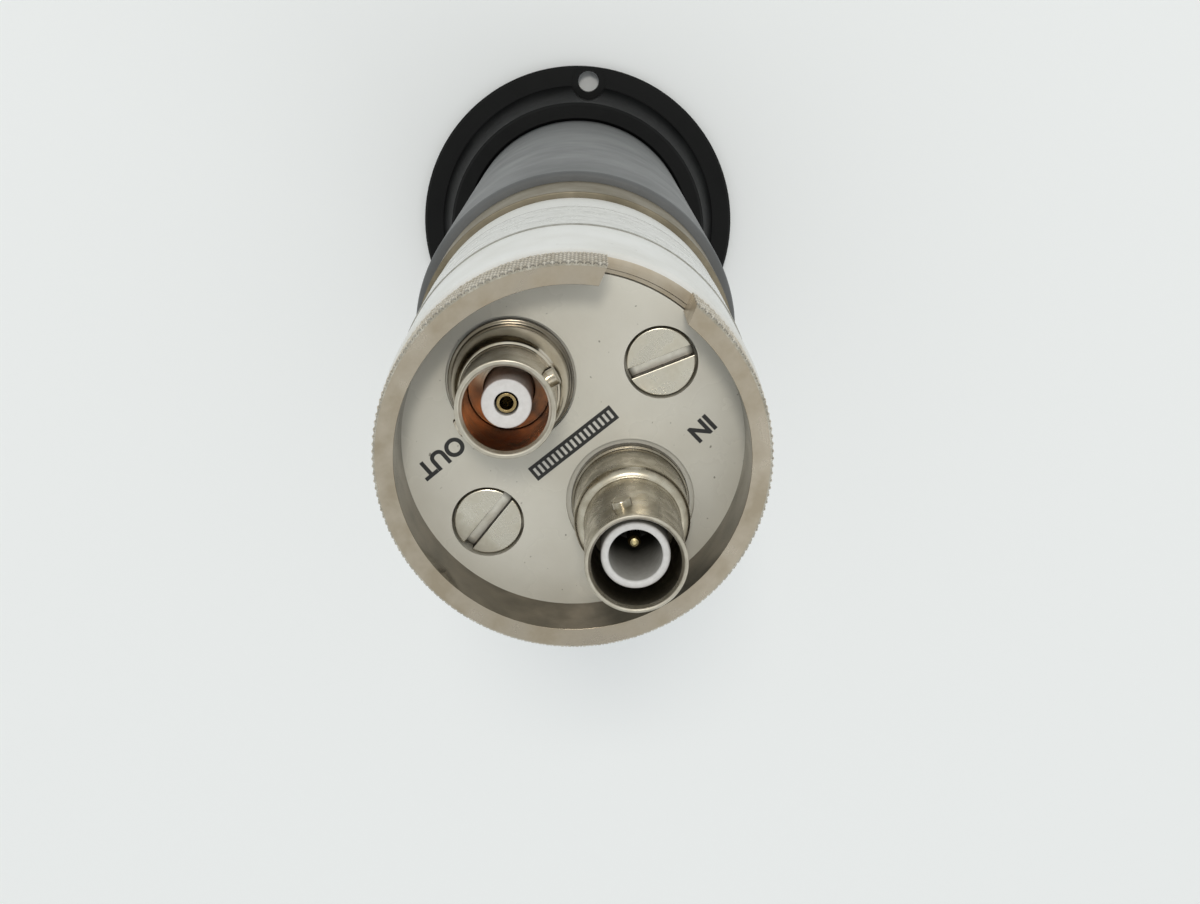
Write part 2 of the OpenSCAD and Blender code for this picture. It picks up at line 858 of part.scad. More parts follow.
module signal_jack_body() {
    edge = 0.2;
    barrel_r = signal_barrel_d / 2;
    flange_r = signal_flange_d / 2;
    dome_inset = 0.45;
    dome_r = flange_r - dome_inset;
    flange_top = 0.5;
    floor_z = signal_h - signal_cavity;
    insulator_r = signal_insulator_d / 2 + slip / 2;
    color("#b9b3a4")
        translate([0, -signal_offset, plate_z1])
            union() {
                rotate_extrude()
                    polygon(concat(
                        [
                            [insulator_r, -thread_len],
                            [thread_d / 2 - edge, -thread_len],
                            [thread_d / 2, -thread_len + edge],
                            [thread_d / 2, -recess_depth],
                            [flange_r, -recess_depth],
                            [flange_r, flange_top - edge],
                            [flange_r - edge, flange_top]
                        ],
                        shoulder(dome_r, flange_top, barrel_r, signal_shoulder_z, 8),
                        [
                            [barrel_r, signal_h - edge],
                            [barrel_r - edge, signal_h],
                            [signal_bore_d / 2 + edge, signal_h],
                            [signal_bore_d / 2, signal_h - edge],
                            [signal_bore_d / 2, floor_z],
                            [insulator_r, floor_z]
                        ]
                    ));
                lugs(signal_barrel_d, signal_h - lug_setback, signal_lug_angle);
            }
}

contact_d = 1.95;
contact_bore_d = 1.35;
contact_tail_d = 0.8;
contact_depth = 6;
contact_recess = 0.3;
contact_floor = 2;
signal_front_z = signal_h - signal_front_gap;
contact_seat_z = signal_front_z - contact_depth - contact_floor;

module signal_jack_insulator() {
    edge = 0.15;
    r = signal_insulator_d / 2;
    hole_r = contact_d / 2 + 2 * slip;
    color("#f2f2f0")
        translate([0, -signal_offset, plate_z1])
            rotate_extrude()
                polygon([
                    [contact_tail_d / 2 + slip, -thread_len],
                    [r, -thread_len],
                    [r, signal_front_z - edge],
                    [r - edge, signal_front_z],
                    [hole_r, signal_front_z],
                    [hole_r, contact_seat_z],
                    [contact_tail_d / 2 + slip, contact_seat_z]
                ]);
}

// Female contact: a tube in front, a solder pin behind
module signal_jack_contact() {
    front_z = signal_front_z - contact_recess;
    color("#c9a85c")
        translate([0, -signal_offset, plate_z1])
            rotate_extrude($fn = 32)
                polygon([
                    [0, -thread_len - solder_len],
                    [contact_tail_d / 2, -thread_len - solder_len],
                    [contact_tail_d / 2, contact_seat_z],
                    [contact_d / 2, contact_seat_z],
                    [contact_d / 2, front_z],
                    [contact_bore_d / 2, front_z],
                    [contact_bore_d / 2, front_z - contact_depth],
                    [0, front_z - contact_depth]
                ]);
}

module jack_washer(y) {
    washer_margin = 0.2;
    washer_d = jack_nut_af + 2 * washer_margin;
    translate([0, y, 0])
        ring_solid(washer_d, thread_d + 2 * slip, plate_z0 - washer_t, plate_z0);
}

module jack_nut(y) {
    hex_d = jack_nut_af / cos(30);
    nut_z1 = plate_z0 - washer_t;
    translate([0, y, nut_z1 - jack_nut_t])
        difference() {
            cylinder(d = hex_d, h = jack_nut_t, $fn = 6);
            translate([0, 0, -cut])
                cylinder(d = thread_d + slip, h = jack_nut_t + 2 * cut);
        }
}

module signal_jack_washer() {
    color("#aaa69a")
        jack_washer(-signal_offset);
}

module signal_jack_nut() {
    color("#b9b3a4")
        jack_nut(-signal_offset);
}

hv_body_d = 11.7;
hv_step_z = 6.6;
hv_cavity = 11;
hv_front_gap = 2.3;
hv_socket_depth = 12;
hv_pin_d = 1.3;
hv_tail_d = 2;
hv_pin_gap = 6;
hv_front_z = hv_h - hv_front_gap;
hv_socket_z = hv_front_z - hv_socket_depth;

module hv_jack_body() {
    edge = 0.2;
    barrel_r = hv_barrel_d / 2;
    flange_r = hv_flange_d / 2;
    flange_top = 0.7;
    step_h = 1;
    floor_z = hv_h - hv_cavity;
    insulator_r = hv_insulator_d / 2 + slip / 2;
    color("#a8a698")
        translate([0, hv_offset, plate_z1])
            union() {
                rotate_extrude()
                    polygon(concat(
                        [
                            [insulator_r, -thread_len],
                            [thread_d / 2 - edge, -thread_len],
                            [thread_d / 2, -thread_len + edge],
                            [thread_d / 2, -recess_depth],
                            [flange_r, -recess_depth],
                            [flange_r, flange_top - edge],
                            [flange_r - edge, flange_top]
                        ],
                        shoulder(hv_body_d / 2, hv_step_z, barrel_r, hv_step_z + step_h, 5),
                        [
                            [barrel_r, hv_h - edge],
                            [barrel_r - edge, hv_h],
                            [hv_bore_d / 2 + edge, hv_h],
                            [hv_bore_d / 2, hv_h - edge],
                            [hv_bore_d / 2, floor_z],
                            [insulator_r, floor_z]
                        ]
                    ));
                lugs(hv_barrel_d, hv_h - lug_setback, hv_lug_angle);
            }
}

module hv_jack_insulator() {
    edge = 0.3;
    r = hv_insulator_d / 2;
    hole_r = hv_socket_d / 2;
    tail_hole_r = hv_tail_d / 2 + slip / 2;
    color("#f2f2f0")
        translate([0, hv_offset, plate_z1])
            rotate_extrude()
                polygon([
                    [tail_hole_r, -thread_len],
                    [r, -thread_len],
                    [r, hv_front_z - edge],
                    [r - edge, hv_front_z],
                    [hole_r, hv_front_z],
                    [hole_r, hv_socket_z],
                    [tail_hole_r, hv_socket_z]
                ]);
}

// The pin stands free in the insulator, on a thicker tail that ends in the solder cup
module hv_jack_pin() {
    tip_z = hv_h - hv_pin_gap;
    r = hv_pin_d / 2;
    color("#c9a85c")
        translate([0, hv_offset, plate_z1])
            rotate_extrude($fn = 32)
                polygon([
                    [0, -thread_len - solder_len],
                    [hv_tail_d / 2, -thread_len - solder_len],
                    [hv_tail_d / 2, hv_socket_z],
                    [r, hv_socket_z],
                    [r, tip_z - r],
                    [r / 2, tip_z - r / 4],
                    [0, tip_z]
                ]);
}

module hv_jack_washer() {
    color("#aaa69a")
        jack_washer(hv_offset);
}

module hv_jack_nut() {
    color("#a8a698")
        jack_nut(hv_offset);
}

front_flange();
face_seal();
front_light_seal();
body_tube();
magnetic_shield();
shield_rings();
tube_cushions();
glass_envelope();
focus_cup();
dynodes();
dynode_supports();
stem_pins();
tube_socket();
socket_tags();
socket_plate();
front_pillars();
socket_screws();
lower_board();
middle_pillars();
divider_resistors();
divider_capacitors();
upper_board();
rear_pillars();
signal_lead();
hv_lead();
joint_collar();
rear_drum();
tape_band();
clamp_ring();
end_plate();
plate_screws();
signal_jack_body();
signal_jack_insulator();
signal_jack_contact();
signal_jack_washer();
signal_jack_nut();
hv_jack_body();
hv_jack_insulator();
hv_jack_pin();
hv_jack_washer();
hv_jack_nut();
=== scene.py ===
"""Photomultiplier tube housing: knurled rear ring, pale end plate and two coaxial jacks."""

import math

import bmesh
import bpy
from mathutils import Matrix, Vector


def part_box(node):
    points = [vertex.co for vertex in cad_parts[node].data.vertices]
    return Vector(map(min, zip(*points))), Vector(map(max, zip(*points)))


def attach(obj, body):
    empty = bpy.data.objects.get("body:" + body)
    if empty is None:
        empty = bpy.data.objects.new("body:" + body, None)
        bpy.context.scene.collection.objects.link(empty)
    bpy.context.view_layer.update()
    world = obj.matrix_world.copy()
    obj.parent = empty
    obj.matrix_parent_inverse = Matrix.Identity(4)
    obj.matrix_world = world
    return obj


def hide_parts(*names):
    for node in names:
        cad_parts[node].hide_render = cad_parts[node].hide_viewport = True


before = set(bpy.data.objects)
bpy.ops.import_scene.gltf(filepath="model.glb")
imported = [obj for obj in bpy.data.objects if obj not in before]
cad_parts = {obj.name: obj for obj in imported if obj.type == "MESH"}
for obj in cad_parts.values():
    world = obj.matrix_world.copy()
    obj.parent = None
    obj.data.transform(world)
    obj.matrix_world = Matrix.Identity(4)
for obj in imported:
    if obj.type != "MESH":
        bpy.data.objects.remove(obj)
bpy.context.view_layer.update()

# Lengths are in millimetres and become metres when a mesh is finished
MM = 0.001
BODY = "root"


def extent(node):
    """Lowest and highest corner of a CAD node, in millimetres."""
    low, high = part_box(node)
    return low / MM, high / MM


def middle(node):
    """Centre of a CAD node in the plane of the end plate, in millimetres."""
    low, high = extent(node)
    return Vector(((low.x + high.x) / 2, (low.y + high.y) / 2, 0))


# Camera at the photograph's angle, almost along the axis

PHOTO_W = 1200
FOCAL_PX = 1502.5
SENSOR = 36.0
CAMERA_AT = Vector((-29.76, -29.80, 326.47))
CAMERA_FORWARD = Vector((0.18265, 0.20821, -0.96088)).normalized()
CAMERA_UP = Vector((-0.6639, -0.69474, -0.27674)).normalized()
CAMERA_RIGHT = CAMERA_FORWARD.cross(CAMERA_UP).normalized()

camera_data = bpy.data.cameras.new("camera")
camera_data.sensor_width = SENSOR
camera_data.lens = FOCAL_PX / PHOTO_W * SENSOR
camera = bpy.data.objects.new("camera", camera_data)
bpy.context.scene.collection.objects.link(camera)
camera_axes = Matrix((CAMERA_RIGHT, CAMERA_UP, -CAMERA_FORWARD)).transposed()
camera.matrix_world = Matrix.Translation(CAMERA_AT * MM) @ camera_axes.to_4x4()
bpy.context.scene.camera = camera


def linear(hex_colour):
    """An sRGB hex colour as the linear colour that a socket takes."""
    channels = [int(hex_colour[i:i + 2], 16) / 255 for i in (1, 3, 5)]
    return [c / 12.92 if c <= 0.04045 else ((c + 0.055) / 1.055) ** 2.4 for c in channels] + [1.0]


# A node that mixes colours takes its amount and its two colours in these inputs, and gives this output
AMOUNT, FIRST, SECOND, MIXED = 0, 6, 7, 2


def add(tree, kind, inputs=None, **settings):
    """Adds one node, sets its properties, and fills or links its inputs, a hex colour as a linear one."""
    made = tree.nodes.new(kind)
    for name, value in settings.items():
        setattr(made, name, value)
    for name, value in (inputs or {}).items():
        if isinstance(value, bpy.types.NodeSocket):
            tree.links.new(value, made.inputs[name])
        else:
            made.inputs[name].default_value = linear(value) if isinstance(value, str) else value
    return made


def start_material(name, centre=(0, 0, 0), **surface):
    """A new material, its shader, and Object coordinates in millimetres from a centre."""
    material = bpy.data.materials.new(name)
    material.use_nodes = True
    tree = material.node_tree
    shader = tree.nodes["Principled BSDF"]
    for socket, value in surface.items():
        shader.inputs[socket.replace("_", " ")].default_value = value
    place = add(tree, "ShaderNodeTexCoord")
    where = add(tree, "ShaderNodeMapping", {
        "Vector": place.outputs["Object"],
        "Location": [-c for c in centre],
        "Scale": (1 / MM,) * 3,
    })
    return material, tree, shader, where.outputs["Vector"]


# The two noise values between which a pattern passes from its first tone to its second
TARNISH_SPAN = (0.35, 0.68)
AGE_SPAN = (0.35, 0.7)
GRAIN_SPAN = (0.3, 0.7)
RIPPLE_SPAN = (0.2, 0.8)
SPECK_SPAN = (0.755, 0.8)
SPECK_MM = 0.7


def patches(tree, where, patch_mm, span, detail=4.0):
    """Cloudy patches of a size in millimetres, 0 below the span's low end and 1 above its high end."""
    noise = add(tree, "ShaderNodeTexNoise", {"Vector": where, "Scale": 1 / patch_mm, "Detail": detail})
    spread = add(tree, "ShaderNodeMapRange", {
        "Value": noise.outputs["Fac"],
        "From Min": span[0],
        "From Max": span[1],
    })
    return spread.outputs["Result"]


def turning_marks(tree, where, pitch_mm):
    """Rings round the axis that a lathe's cutter leaves, uneven in depth."""
    flat = add(tree, "ShaderNodeVectorMath", {0: where, 1: (1, 1, 0)}, operation="MULTIPLY")
    radius = add(tree, "ShaderNodeVectorMath", {0: flat.outputs["Vector"]}, operation="LENGTH")
    parts = add(tree, "ShaderNodeSeparateXYZ", {"Vector": where})
    along = add(tree, "ShaderNodeMath", {0: radius.outputs["Value"], 1: parts.outputs["Z"]}, operation="ADD")
    steps = add(tree, "ShaderNodeTexNoise", {
        "W": along.outputs["Value"],
        "Scale": 1 / pitch_mm,
        "Detail": 3.0,
    }, noise_dimensions="1D")
    return steps.outputs["Fac"]


def finish_surface(tree, shader, colour, wear, shine, height, depth_mm):
    """Gives a shader its colour, a roughness that rises with wear, and a bump of a depth in millimetres."""
    roughness = add(tree, "ShaderNodeMapRange", {"Value": wear, "To Min": shine[0], "To Max": shine[1]})
    bump = add(tree, "ShaderNodeBump", {"Height": height, "Strength": 1.0, "Distance": depth_mm * MM})
    tree.links.new(colour, shader.inputs["Base Color"])
    tree.links.new(roughness.outputs["Result"], shader.inputs["Roughness"])
    tree.links.new(bump.outputs["Normal"], shader.inputs["Normal"])


def tone_by_dirt_and_shade(tree, colour, dirt_and_shade):
    """Turns a colour to a second tone where the mesh's own attribute says: dirt, and painted shade."""
    depth = add(tree, "ShaderNodeAttribute", attribute_name="dirt_and_shade")
    retoned = add(tree, "ShaderNodeMix", {
        AMOUNT: depth.outputs["Fac"],
        FIRST: colour,
        SECOND: dirt_and_shade,
    }, data_type="RGBA")
    return retoned.outputs[MIXED]


# A lathe's real marks are about 0.1 mm apart, and they are drawn wider so that they show
MARK_PITCH = 0.25


def plated(name, clean, dull, patch_mm, shine, centre=(0, 0, 0), mark_mm=0.004, dirt_and_shade=None):
    """Metal plate over turned brass: patchy tarnish, and fine turning marks that stretch its highlights."""
    material, tree, shader, where = start_material(name, centre, Metallic=1.0)
    tarnish = patches(tree, where, patch_mm, TARNISH_SPAN)
    marks = turning_marks(tree, where, MARK_PITCH)
    toned = add(tree, "ShaderNodeMix", {AMOUNT: tarnish, FIRST: clean, SECOND: dull}, data_type="RGBA")
    colour = toned.outputs[MIXED]
    if dirt_and_shade:
        colour = tone_by_dirt_and_shade(tree, colour, dirt_and_shade)
    finish_surface(tree, shader, colour, tarnish, shine, marks, mark_mm)
    return material


def enamelled(name, clean, aged, patch_mm, shine, peel_mm, peel_depth, gloss=0.5, speck=None):
    """Stove enamel: an even coat with a faint ripple, aged in soft patches, with a few dirt specks."""
    material, tree, shader, where = start_material(name, Specular_IOR_Level=gloss)
    age = patches(tree, where, patch_mm, AGE_SPAN)
    ripple = patches(tree, where, peel_mm, RIPPLE_SPAN, detail=1.0)
    toned = add(tree, "ShaderNodeMix", {AMOUNT: age, FIRST: clean, SECOND: aged}, data_type="RGBA")
    colour = toned.outputs[MIXED]
    if speck:
        specks = patches(tree, where, SPECK_MM, SPECK_SPAN, detail=1.0)
        dotted = add(tree, "ShaderNodeMix", {AMOUNT: specks, FIRST: colour, SECOND: speck}, data_type="RGBA")
        colour = dotted.outputs[MIXED]
    finish_surface(tree, shader, colour, age, shine, ripple, peel_depth)
    return material


def moulded(name, first, second, grain_mm, shine, depth_mm=0.01, dirt_and_shade=None, **surface):
    """Rubber, plastic, felt, ceramic or laminate: a grain of one size with two close tones."""
    material, tree, shader, where = start_material(name, **surface)
    grain = patches(tree, where, grain_mm, GRAIN_SPAN)
    toned = add(tree, "ShaderNodeMix", {AMOUNT: grain, FIRST: first, SECOND: second}, data_type="RGBA")
    colour = toned.outputs[MIXED]
    if dirt_and_shade:
        colour = tone_by_dirt_and_shade(tree, colour, dirt_and_shade)
    finish_surface(tree, shader, colour, grain, shine, grain, depth_mm)
    return material


# The finishes, each named for what the real surface is or for the light or shade painted on it. A call gives
# a finish's name, its two tones, the size of its patches or grain in millimetres, and its roughness in the
# first tone and in the second

# Baked enamel: pale, even and softly glossy, with a faint ripple and a few specks of dirt
enamel_face = enamelled(
    "stove_enamel_plate", "#dbd9cd", "#d2cfc2", 7.0, (0.24, 0.34),
    peel_mm=0.9, peel_depth=0.012, speck="#8f8b7e",
)
# The drum's enamel is whiter, and handling has taken some of its gloss
enamel_drum = enamelled(
    "stove_enamel_drum", "#e6e7e3", "#dcdcd6", 9.0, (0.35, 0.5),
    peel_mm=0.7, peel_depth=0.012, speck="#c6c5bd",
)
# Sprayed grey enamel: almost matt, in wide cloudy patches
enamel_tube = enamelled(
    "grey_enamel_tube", "#636565", "#595b5b", 12.0, (0.4, 0.52), peel_mm=0.6, peel_depth=0.015,
)
# Turned, dyed and sealed aluminium: deep black with a weak sheen
anodised = enamelled(
    "black_anodised_aluminium", "#090a0a", "#101111", 6.0, (0.4, 0.54),
    peel_mm=0.3, peel_depth=0.008, gloss=0.15,
)

# Nickel plate on turned brass: warm grey, its highlights spread by age
nickel_ring = plated("satin_nickel_ring", "#c5baa9", "#aa9e8b", 3.0, (0.26, 0.4))
# Knurled and plated: the tips are rubbed bright and brightened further as a painted highlight, and the
# grooves are darkened with dirt and painted shade
knurled_nickel = plated("knurled_nickel_ring", "#efe7d8", "#cfc4b1", 1.4, (0.3, 0.45), dirt_and_shade="#352e24")
# The ring's bore: smoother, with its colour darkened as painted shade
shaded_ring_bore = plated("painted_shade_ring_bore", "#786f60", "#60594b", 3.0, (0.12, 0.2))
# The ring's top edge and the jacks' mouths: a pale line painted as a highlight
highlight_nickel_rim = plated("painted_highlight_rim", "#cfc9bb", "#b2ab9c", 1.5, (0.3, 0.42))
# The collar's plate has gone brown and matt
nickel_collar = plated("dull_nickel_collar", "#8c8473", "#7e7665", 5.0, (0.5, 0.62))

# Bright nickel jacks with sharp highlights, and painted shade where they meet the plate
FOOT_SHADE = "#453c2e"
SIGNAL_AXIS = middle("signal_jack_body")
HV_AXIS = middle("hv_jack_body")
nickel_signal = plated(
    "bright_nickel_jack", "#d6cebf", "#bcb2a0", 2.5, (0.13, 0.24), SIGNAL_AXIS, dirt_and_shade=FOOT_SHADE,
)
nickel_hv = plated(
    "nickel_hv_jack", "#c4bdad", "#a39b89", 1.6, (0.2, 0.36), HV_AXIS, mark_mm=0.007, dirt_and_shade=FOOT_SHADE,
)
# The signal jack's bore has lost its plate and gone copper brown; one side of its floor is painted grey as
# shade
brown_bore = plated(
    "browned_brass_bore", "#c08356", "#66584e", 2.6, (0.16, 0.3), SIGNAL_AXIS, dirt_and_shade="#b5af9f",
)
# The tall jack's bore: an even grey, darkened as painted shade
shaded_hv_bore = plated("painted_shade_hv_bore", "#7c7566", "#5b5548", 2.0, (0.3, 0.45), HV_AXIS)

# Plated cheese heads: the palest metal, with a slot floor painted pale as light between walls and ends
# painted dark as shade
nickel_screw = plated("nickel_cheese_head", "#e6e0d1", "#cfc8b7", 1.6, (0.24, 0.36))
lit_slot_floor = plated("painted_light_slot_floor", "#f4eee1", "#e2dbcc", 1.0, (0.3, 0.42), dirt_and_shade="#2c271e")
shaded_slot_wall = plated("painted_shade_slot_wall", "#3d382d", "#2a261e", 0.8, (0.5, 0.65))

# Zinc on steel: a cold, even grey
zinc = plated("zinc_plated_steel", "#b6b6b2", "#9b9b96", 2.0, (0.3, 0.42))
# Gold on brass contacts: soft yellow, with the pin's tip painted pale as a highlight and the deep parts
# painted brown as shade
gold = plated("gold_plated_contact", "#bda678", "#8f7b54", 0.5, (0.24, 0.36))
highlight_gold = plated("painted_highlight_pin_tip", "#f0e2b4", "#e2d09a", 0.8, (0.4, 0.5))
shaded_gold = plated("painted_shade_gold", "#7c6a42", "#4f4229", 0.8, (0.2, 0.32))
# Bare turned brass: yellow with brown patches
brass = plated("turned_brass", "#c9ab62", "#a98e4d", 3.0, (0.25, 0.4))
# Rolled and annealed shield: a dull blue grey
shield_alloy = plated("annealed_nickel_iron", "#a5a39c", "#8d8b84", 5.0, (0.35, 0.5))
# Pressed electrodes: a clean grey, and on the dynodes a brown oxide
electrode = plated("electrode_nickel", "#b5b2a8", "#9c998e", 2.0, (0.3, 0.45))
dynode_alloy = plated("dynode_beryllium_copper", "#c2ad8a", "#a58f6c", 2.0, (0.3, 0.45))
# Milled aluminium: a pale cold grey
milled = plated("milled_aluminium", "#b4b5b3", "#a0a19f", 3.0, (0.28, 0.42))

# Turned insulator: white, waxy and without grain; in its bore it is painted grey, with painted shade that
# deepens downwards
ptfe = moulded("ptfe_insulator", "#e9e9e7", "#dededb", 0.5, (0.38, 0.5), 0.004)
shaded_ptfe_bore = moulded("painted_shade_ptfe_bore", "#d8d7d2", "#cccbc5", 0.6, (0.45, 0.6), 0.004, dirt_and_shade="#2b2820")
# Seals: moulded rubber is near black and dull, and foam and felt have a coarse matt nap
rubber = moulded("black_nitrile_rubber", "#161616", "#202020", 0.2, (0.6, 0.8))
foam = moulded("black_foam", "#141414", "#262626", 0.5, (0.9, 1.0), 0.15)
felt = moulded("grey_felt", "#55554f", "#6a6a62", 0.3, (0.9, 1.0), 0.1)
# Pressed phenolic, glass laminate and fired ceramic: brown, green and off-white, each with a fine grain
phenolic = moulded("brown_phenolic", "#2c2320", "#3a2e29", 0.6, (0.3, 0.45))
laminate = moulded("glass_laminate_board", "#4f6b34", "#5c7a3f", 0.5, (0.35, 0.5))
ceramic = moulded("fired_ceramic", "#e4dfd4", "#d6d0c3", 0.3, (0.5, 0.65))
# Dipped coats on the parts of the divider: smooth and shiny
resistor_coat = moulded("resistor_enamel", "#b58a55", "#a67c49", 0.5, (0.3, 0.4))
capacitor_coat = moulded("dipped_capacitor", "#c77b2f", "#b96f28", 0.6, (0.25, 0.35))
# Extruded sheaths: smooth, with a soft shine
lead_white = moulded("ptfe_cable_sheath", "#e4e0d4", "#d8d3c6", 0.5, (0.4, 0.5))
lead_red = moulded("red_cable_sheath", "#a8322a", "#962a23", 0.5, (0.35, 0.45))
# Wound tape: glossier than the enamel, a little wavy, with a matt grey line along its edges
tape = moulded("glossy_tape", "#dcdcd6", "#d2d3cc", 2.5, (0.16, 0.3), 0.05)
tape_edge = moulded("grey_tape_edge", "#a9a9a2", "#96958d", 0.8, (0.5, 0.65), 0.02)
# Screen printing ink: thin, dense and half matt
black_print = moulded("black_screen_print", "#1d1d1c", "#2a2a29", 0.3, (0.45, 0.6), 0.002)
white_print = moulded("white_screen_print", "#d5d4cd", "#c8c7bf", 0.3, (0.45, 0.6), 0.002)
# Blown glass: clear and faintly green
glass = moulded(
    "borosilicate_glass", "#dfeaec", "#d6e3e6", 20.0, (0.02, 0.04), 0.0,
    Transmission_Weight=1.0, IOR=1.47,
)

DRESS = {
    "front_flange": anodised, "face_seal": rubber, "front_light_seal": foam, "body_tube": enamel_tube,
    "magnetic_shield": shield_alloy, "shield_rings": felt, "tube_cushions": felt, "glass_envelope": glass,
    "focus_cup": electrode, "dynodes": dynode_alloy, "dynode_supports": ceramic, "stem_pins": electrode,
    "tube_socket": phenolic, "socket_tags": brass, "socket_plate": milled, "front_pillars": brass,
    "socket_screws": zinc, "lower_board": laminate, "middle_pillars": brass,
    "divider_resistors": resistor_coat, "divider_capacitors": capacitor_coat, "upper_board": laminate,
    "rear_pillars": brass, "signal_lead": lead_white, "hv_lead": lead_red, "joint_collar": nickel_collar,
    "rear_drum": enamel_drum, "tape_band": tape, "clamp_ring": nickel_ring, "end_plate": enamel_face,
    "plate_screws": nickel_screw, "signal_jack_body": nickel_signal, "signal_jack_insulator": ptfe,
    "signal_jack_contact": gold, "signal_jack_washer": zinc, "signal_jack_nut": nickel_signal,
    "hv_jack_body": nickel_hv, "hv_jack_insulator": ptfe, "hv_jack_pin": shaded_gold, "hv_jack_washer": zinc,
    "hv_jack_nut": nickel_hv,
}
for node_name, finish in DRESS.items():
    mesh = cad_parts[node_name].data
    mesh.materials.clear()
    mesh.materials.append(finish)


# Pieces that need more than the CAD solid's facets

PLATE_Z = extent("end_plate")[1].z
DRUM_Z = extent("rear_drum")[1].z
# Points closer than this are one point, and a point this near a plane lies in it
MERGE = 0.0005
NEAR = 0.01
# An edge this near a piece's outside is an outer one
OUTER = 0.1


def turned(section, steps, closed=True):
    """A shape turned about Z from a half section of (radius, height) points in millimetres."""
    bm = bmesh.new()
    corners = [bm.verts.new((radius, 0, z)) for radius, z in section]
    following = corners[1:] + corners[:1] if closed else corners[1:]
    lines = [bm.edges.new(pair) for pair in zip(corners, following)]
    bmesh.ops.spin(
        bm, geom=corners + lines, cent=(0, 0, 0), axis=(0, 0, 1), dvec=(0, 0, 0),
        angle=math.tau, steps=steps, use_merge=True, use_normal_flip=False, use_duplicate=False,
    )
    bmesh.ops.remove_doubles(bm, verts=bm.verts, dist=MERGE)
    bmesh.ops.recalc_face_normals(bm, faces=bm.faces)
    return bm


def round_edges(bm, width, segments=2, sharper_than=25, chosen=None):
    """Rounds the edges whose faces turn by more than an angle in degrees."""
    limit = math.radians(sharper_than)
    sharp = [
        edge for edge in bm.edges
        if len(edge.link_faces) == 2 and edge.calc_face_angle() > limit and (chosen is None or chosen(edge))
    ]
    bmesh.ops.bevel(
        bm, geom=sharp, offset=width, offset_type="OFFSET", segments=segments, profile=0.5,
        affect="EDGES", clamp_overlap=True, material=-1,
    )


def score(bm, across, width):
    """Cuts a mesh along both walls of a slot through its axis, so that the faces between can come out."""
    for side in (-1, 1):
        bmesh.ops.bisect_plane(
            bm, geom=bm.verts[:] + bm.edges[:] + bm.faces[:], dist=MERGE,
            plane_co=across * side * width / 2, plane_no=across,
        )


def join(bm, other):
    """Adds another bmesh's faces to the first, through a mesh of its own."""
    held = bpy.data.meshes.new("held")
    other.to_mesh(held)
    other.free()
    bm.from_mesh(held)
    bpy.data.meshes.remove(held)


def piece(name, bm, *finishes, stands_for=None, slot=None, crease=12):
    """Makes an object of a mesh in millimetres, shades it, and says what it rides on and stands for."""
    bmesh.ops.scale(bm, vec=(MM,) * 3, verts=bm.verts)
    for face in bm.faces:
        face.smooth = True
    mesh = bpy.data.meshes.new(name)
    bm.to_mesh(mesh)
    bm.free()
    mesh.set_sharp_from_angle(angle=math.radians(crease))
    for finish in finishes:
        mesh.materials.append(finish)
    made = bpy.data.objects.new(name, mesh)
    bpy.context.scene.collection.objects.link(made)
    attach(made, BODY)
    if stands_for:
        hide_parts(stands_for)
    return made


# Body tube, collar and drum: plain turned shells with eased edges

TUBE_STEPS = 160

tube_low, tube_high = extent("body_tube")
TUBE_R = tube_high.x
TUBE_WALL = 1.6
TUBE_EDGE = 0.8
bm = turned([
    (TUBE_R, tube_low.z), (TUBE_R, tube_high.z),
    (TUBE_R - TUBE_WALL, tube_high.z), (TUBE_R - TUBE_WALL, tube_low.z),
], TUBE_STEPS)
round_edges(
    bm, TUBE_EDGE, segments=5,
    chosen=lambda edge: all(v.co.xy.length > TUBE_R - OUTER for v in edge.verts),
)
piece("outer_tube", bm, enamel_tube, stands_for="body_tube")

collar_low, collar_high = extent("joint_collar")
COLLAR_R = collar_high.x
COLLAR_LEN = 12.7
COLLAR_WALL = 1.1
COLLAR_EDGE = 0.3
SPIGOT_GAP = 0.1
LOWER_SPIGOT_R = TUBE_R - TUBE_WALL - SPIGOT_GAP
DRUM_IN_R = 18.5
UPPER_SPIGOT_R = DRUM_IN_R - SPIGOT_GAP
COLLAR_BORE_R = UPPER_SPIGOT_R - COLLAR_WALL
bm = turned([
    (COLLAR_BORE_R, collar_low.z), (LOWER_SPIGOT_R, collar_low.z),
    (LOWER_SPIGOT_R, tube_high.z), (COLLAR_R, tube_high.z),
    (COLLAR_R, tube_high.z + COLLAR_LEN), (UPPER_SPIGOT_R, tube_high.z + COLLAR_LEN),
    (UPPER_SPIGOT_R, collar_high.z), (COLLAR_BORE_R, collar_high.z),
], TUBE_STEPS)
round_edges(bm, COLLAR_EDGE, segments=3)
piece("turned_collar", bm, nickel_collar, stands_for="joint_collar")

drum_low, drum_high = extent("rear_drum")
DRUM_R = drum_high.x
DRUM_EDGE = 0.6
bm = turned([
    (DRUM_IN_R, drum_low.z), (DRUM_R, drum_low.z), (DRUM_R, DRUM_Z), (DRUM_IN_R, DRUM_Z),
], TUBE_STEPS)
round_edges(
    bm, DRUM_EDGE, segments=4,
    chosen=lambda edge: all(v.co.xy.length > DRUM_R - OUTER for v in edge.verts),
)
# The enamel runs over the round edges, and the ends of the drum and its bore are bare metal
for face in bm.faces:
    centre = face.calc_center_median()
    face.material_index = int(centre.xy.length < DRUM_R - DRUM_EDGE)
piece("drum_shell", bm, enamel_drum, nickel_ring, stands_for="rear_drum")

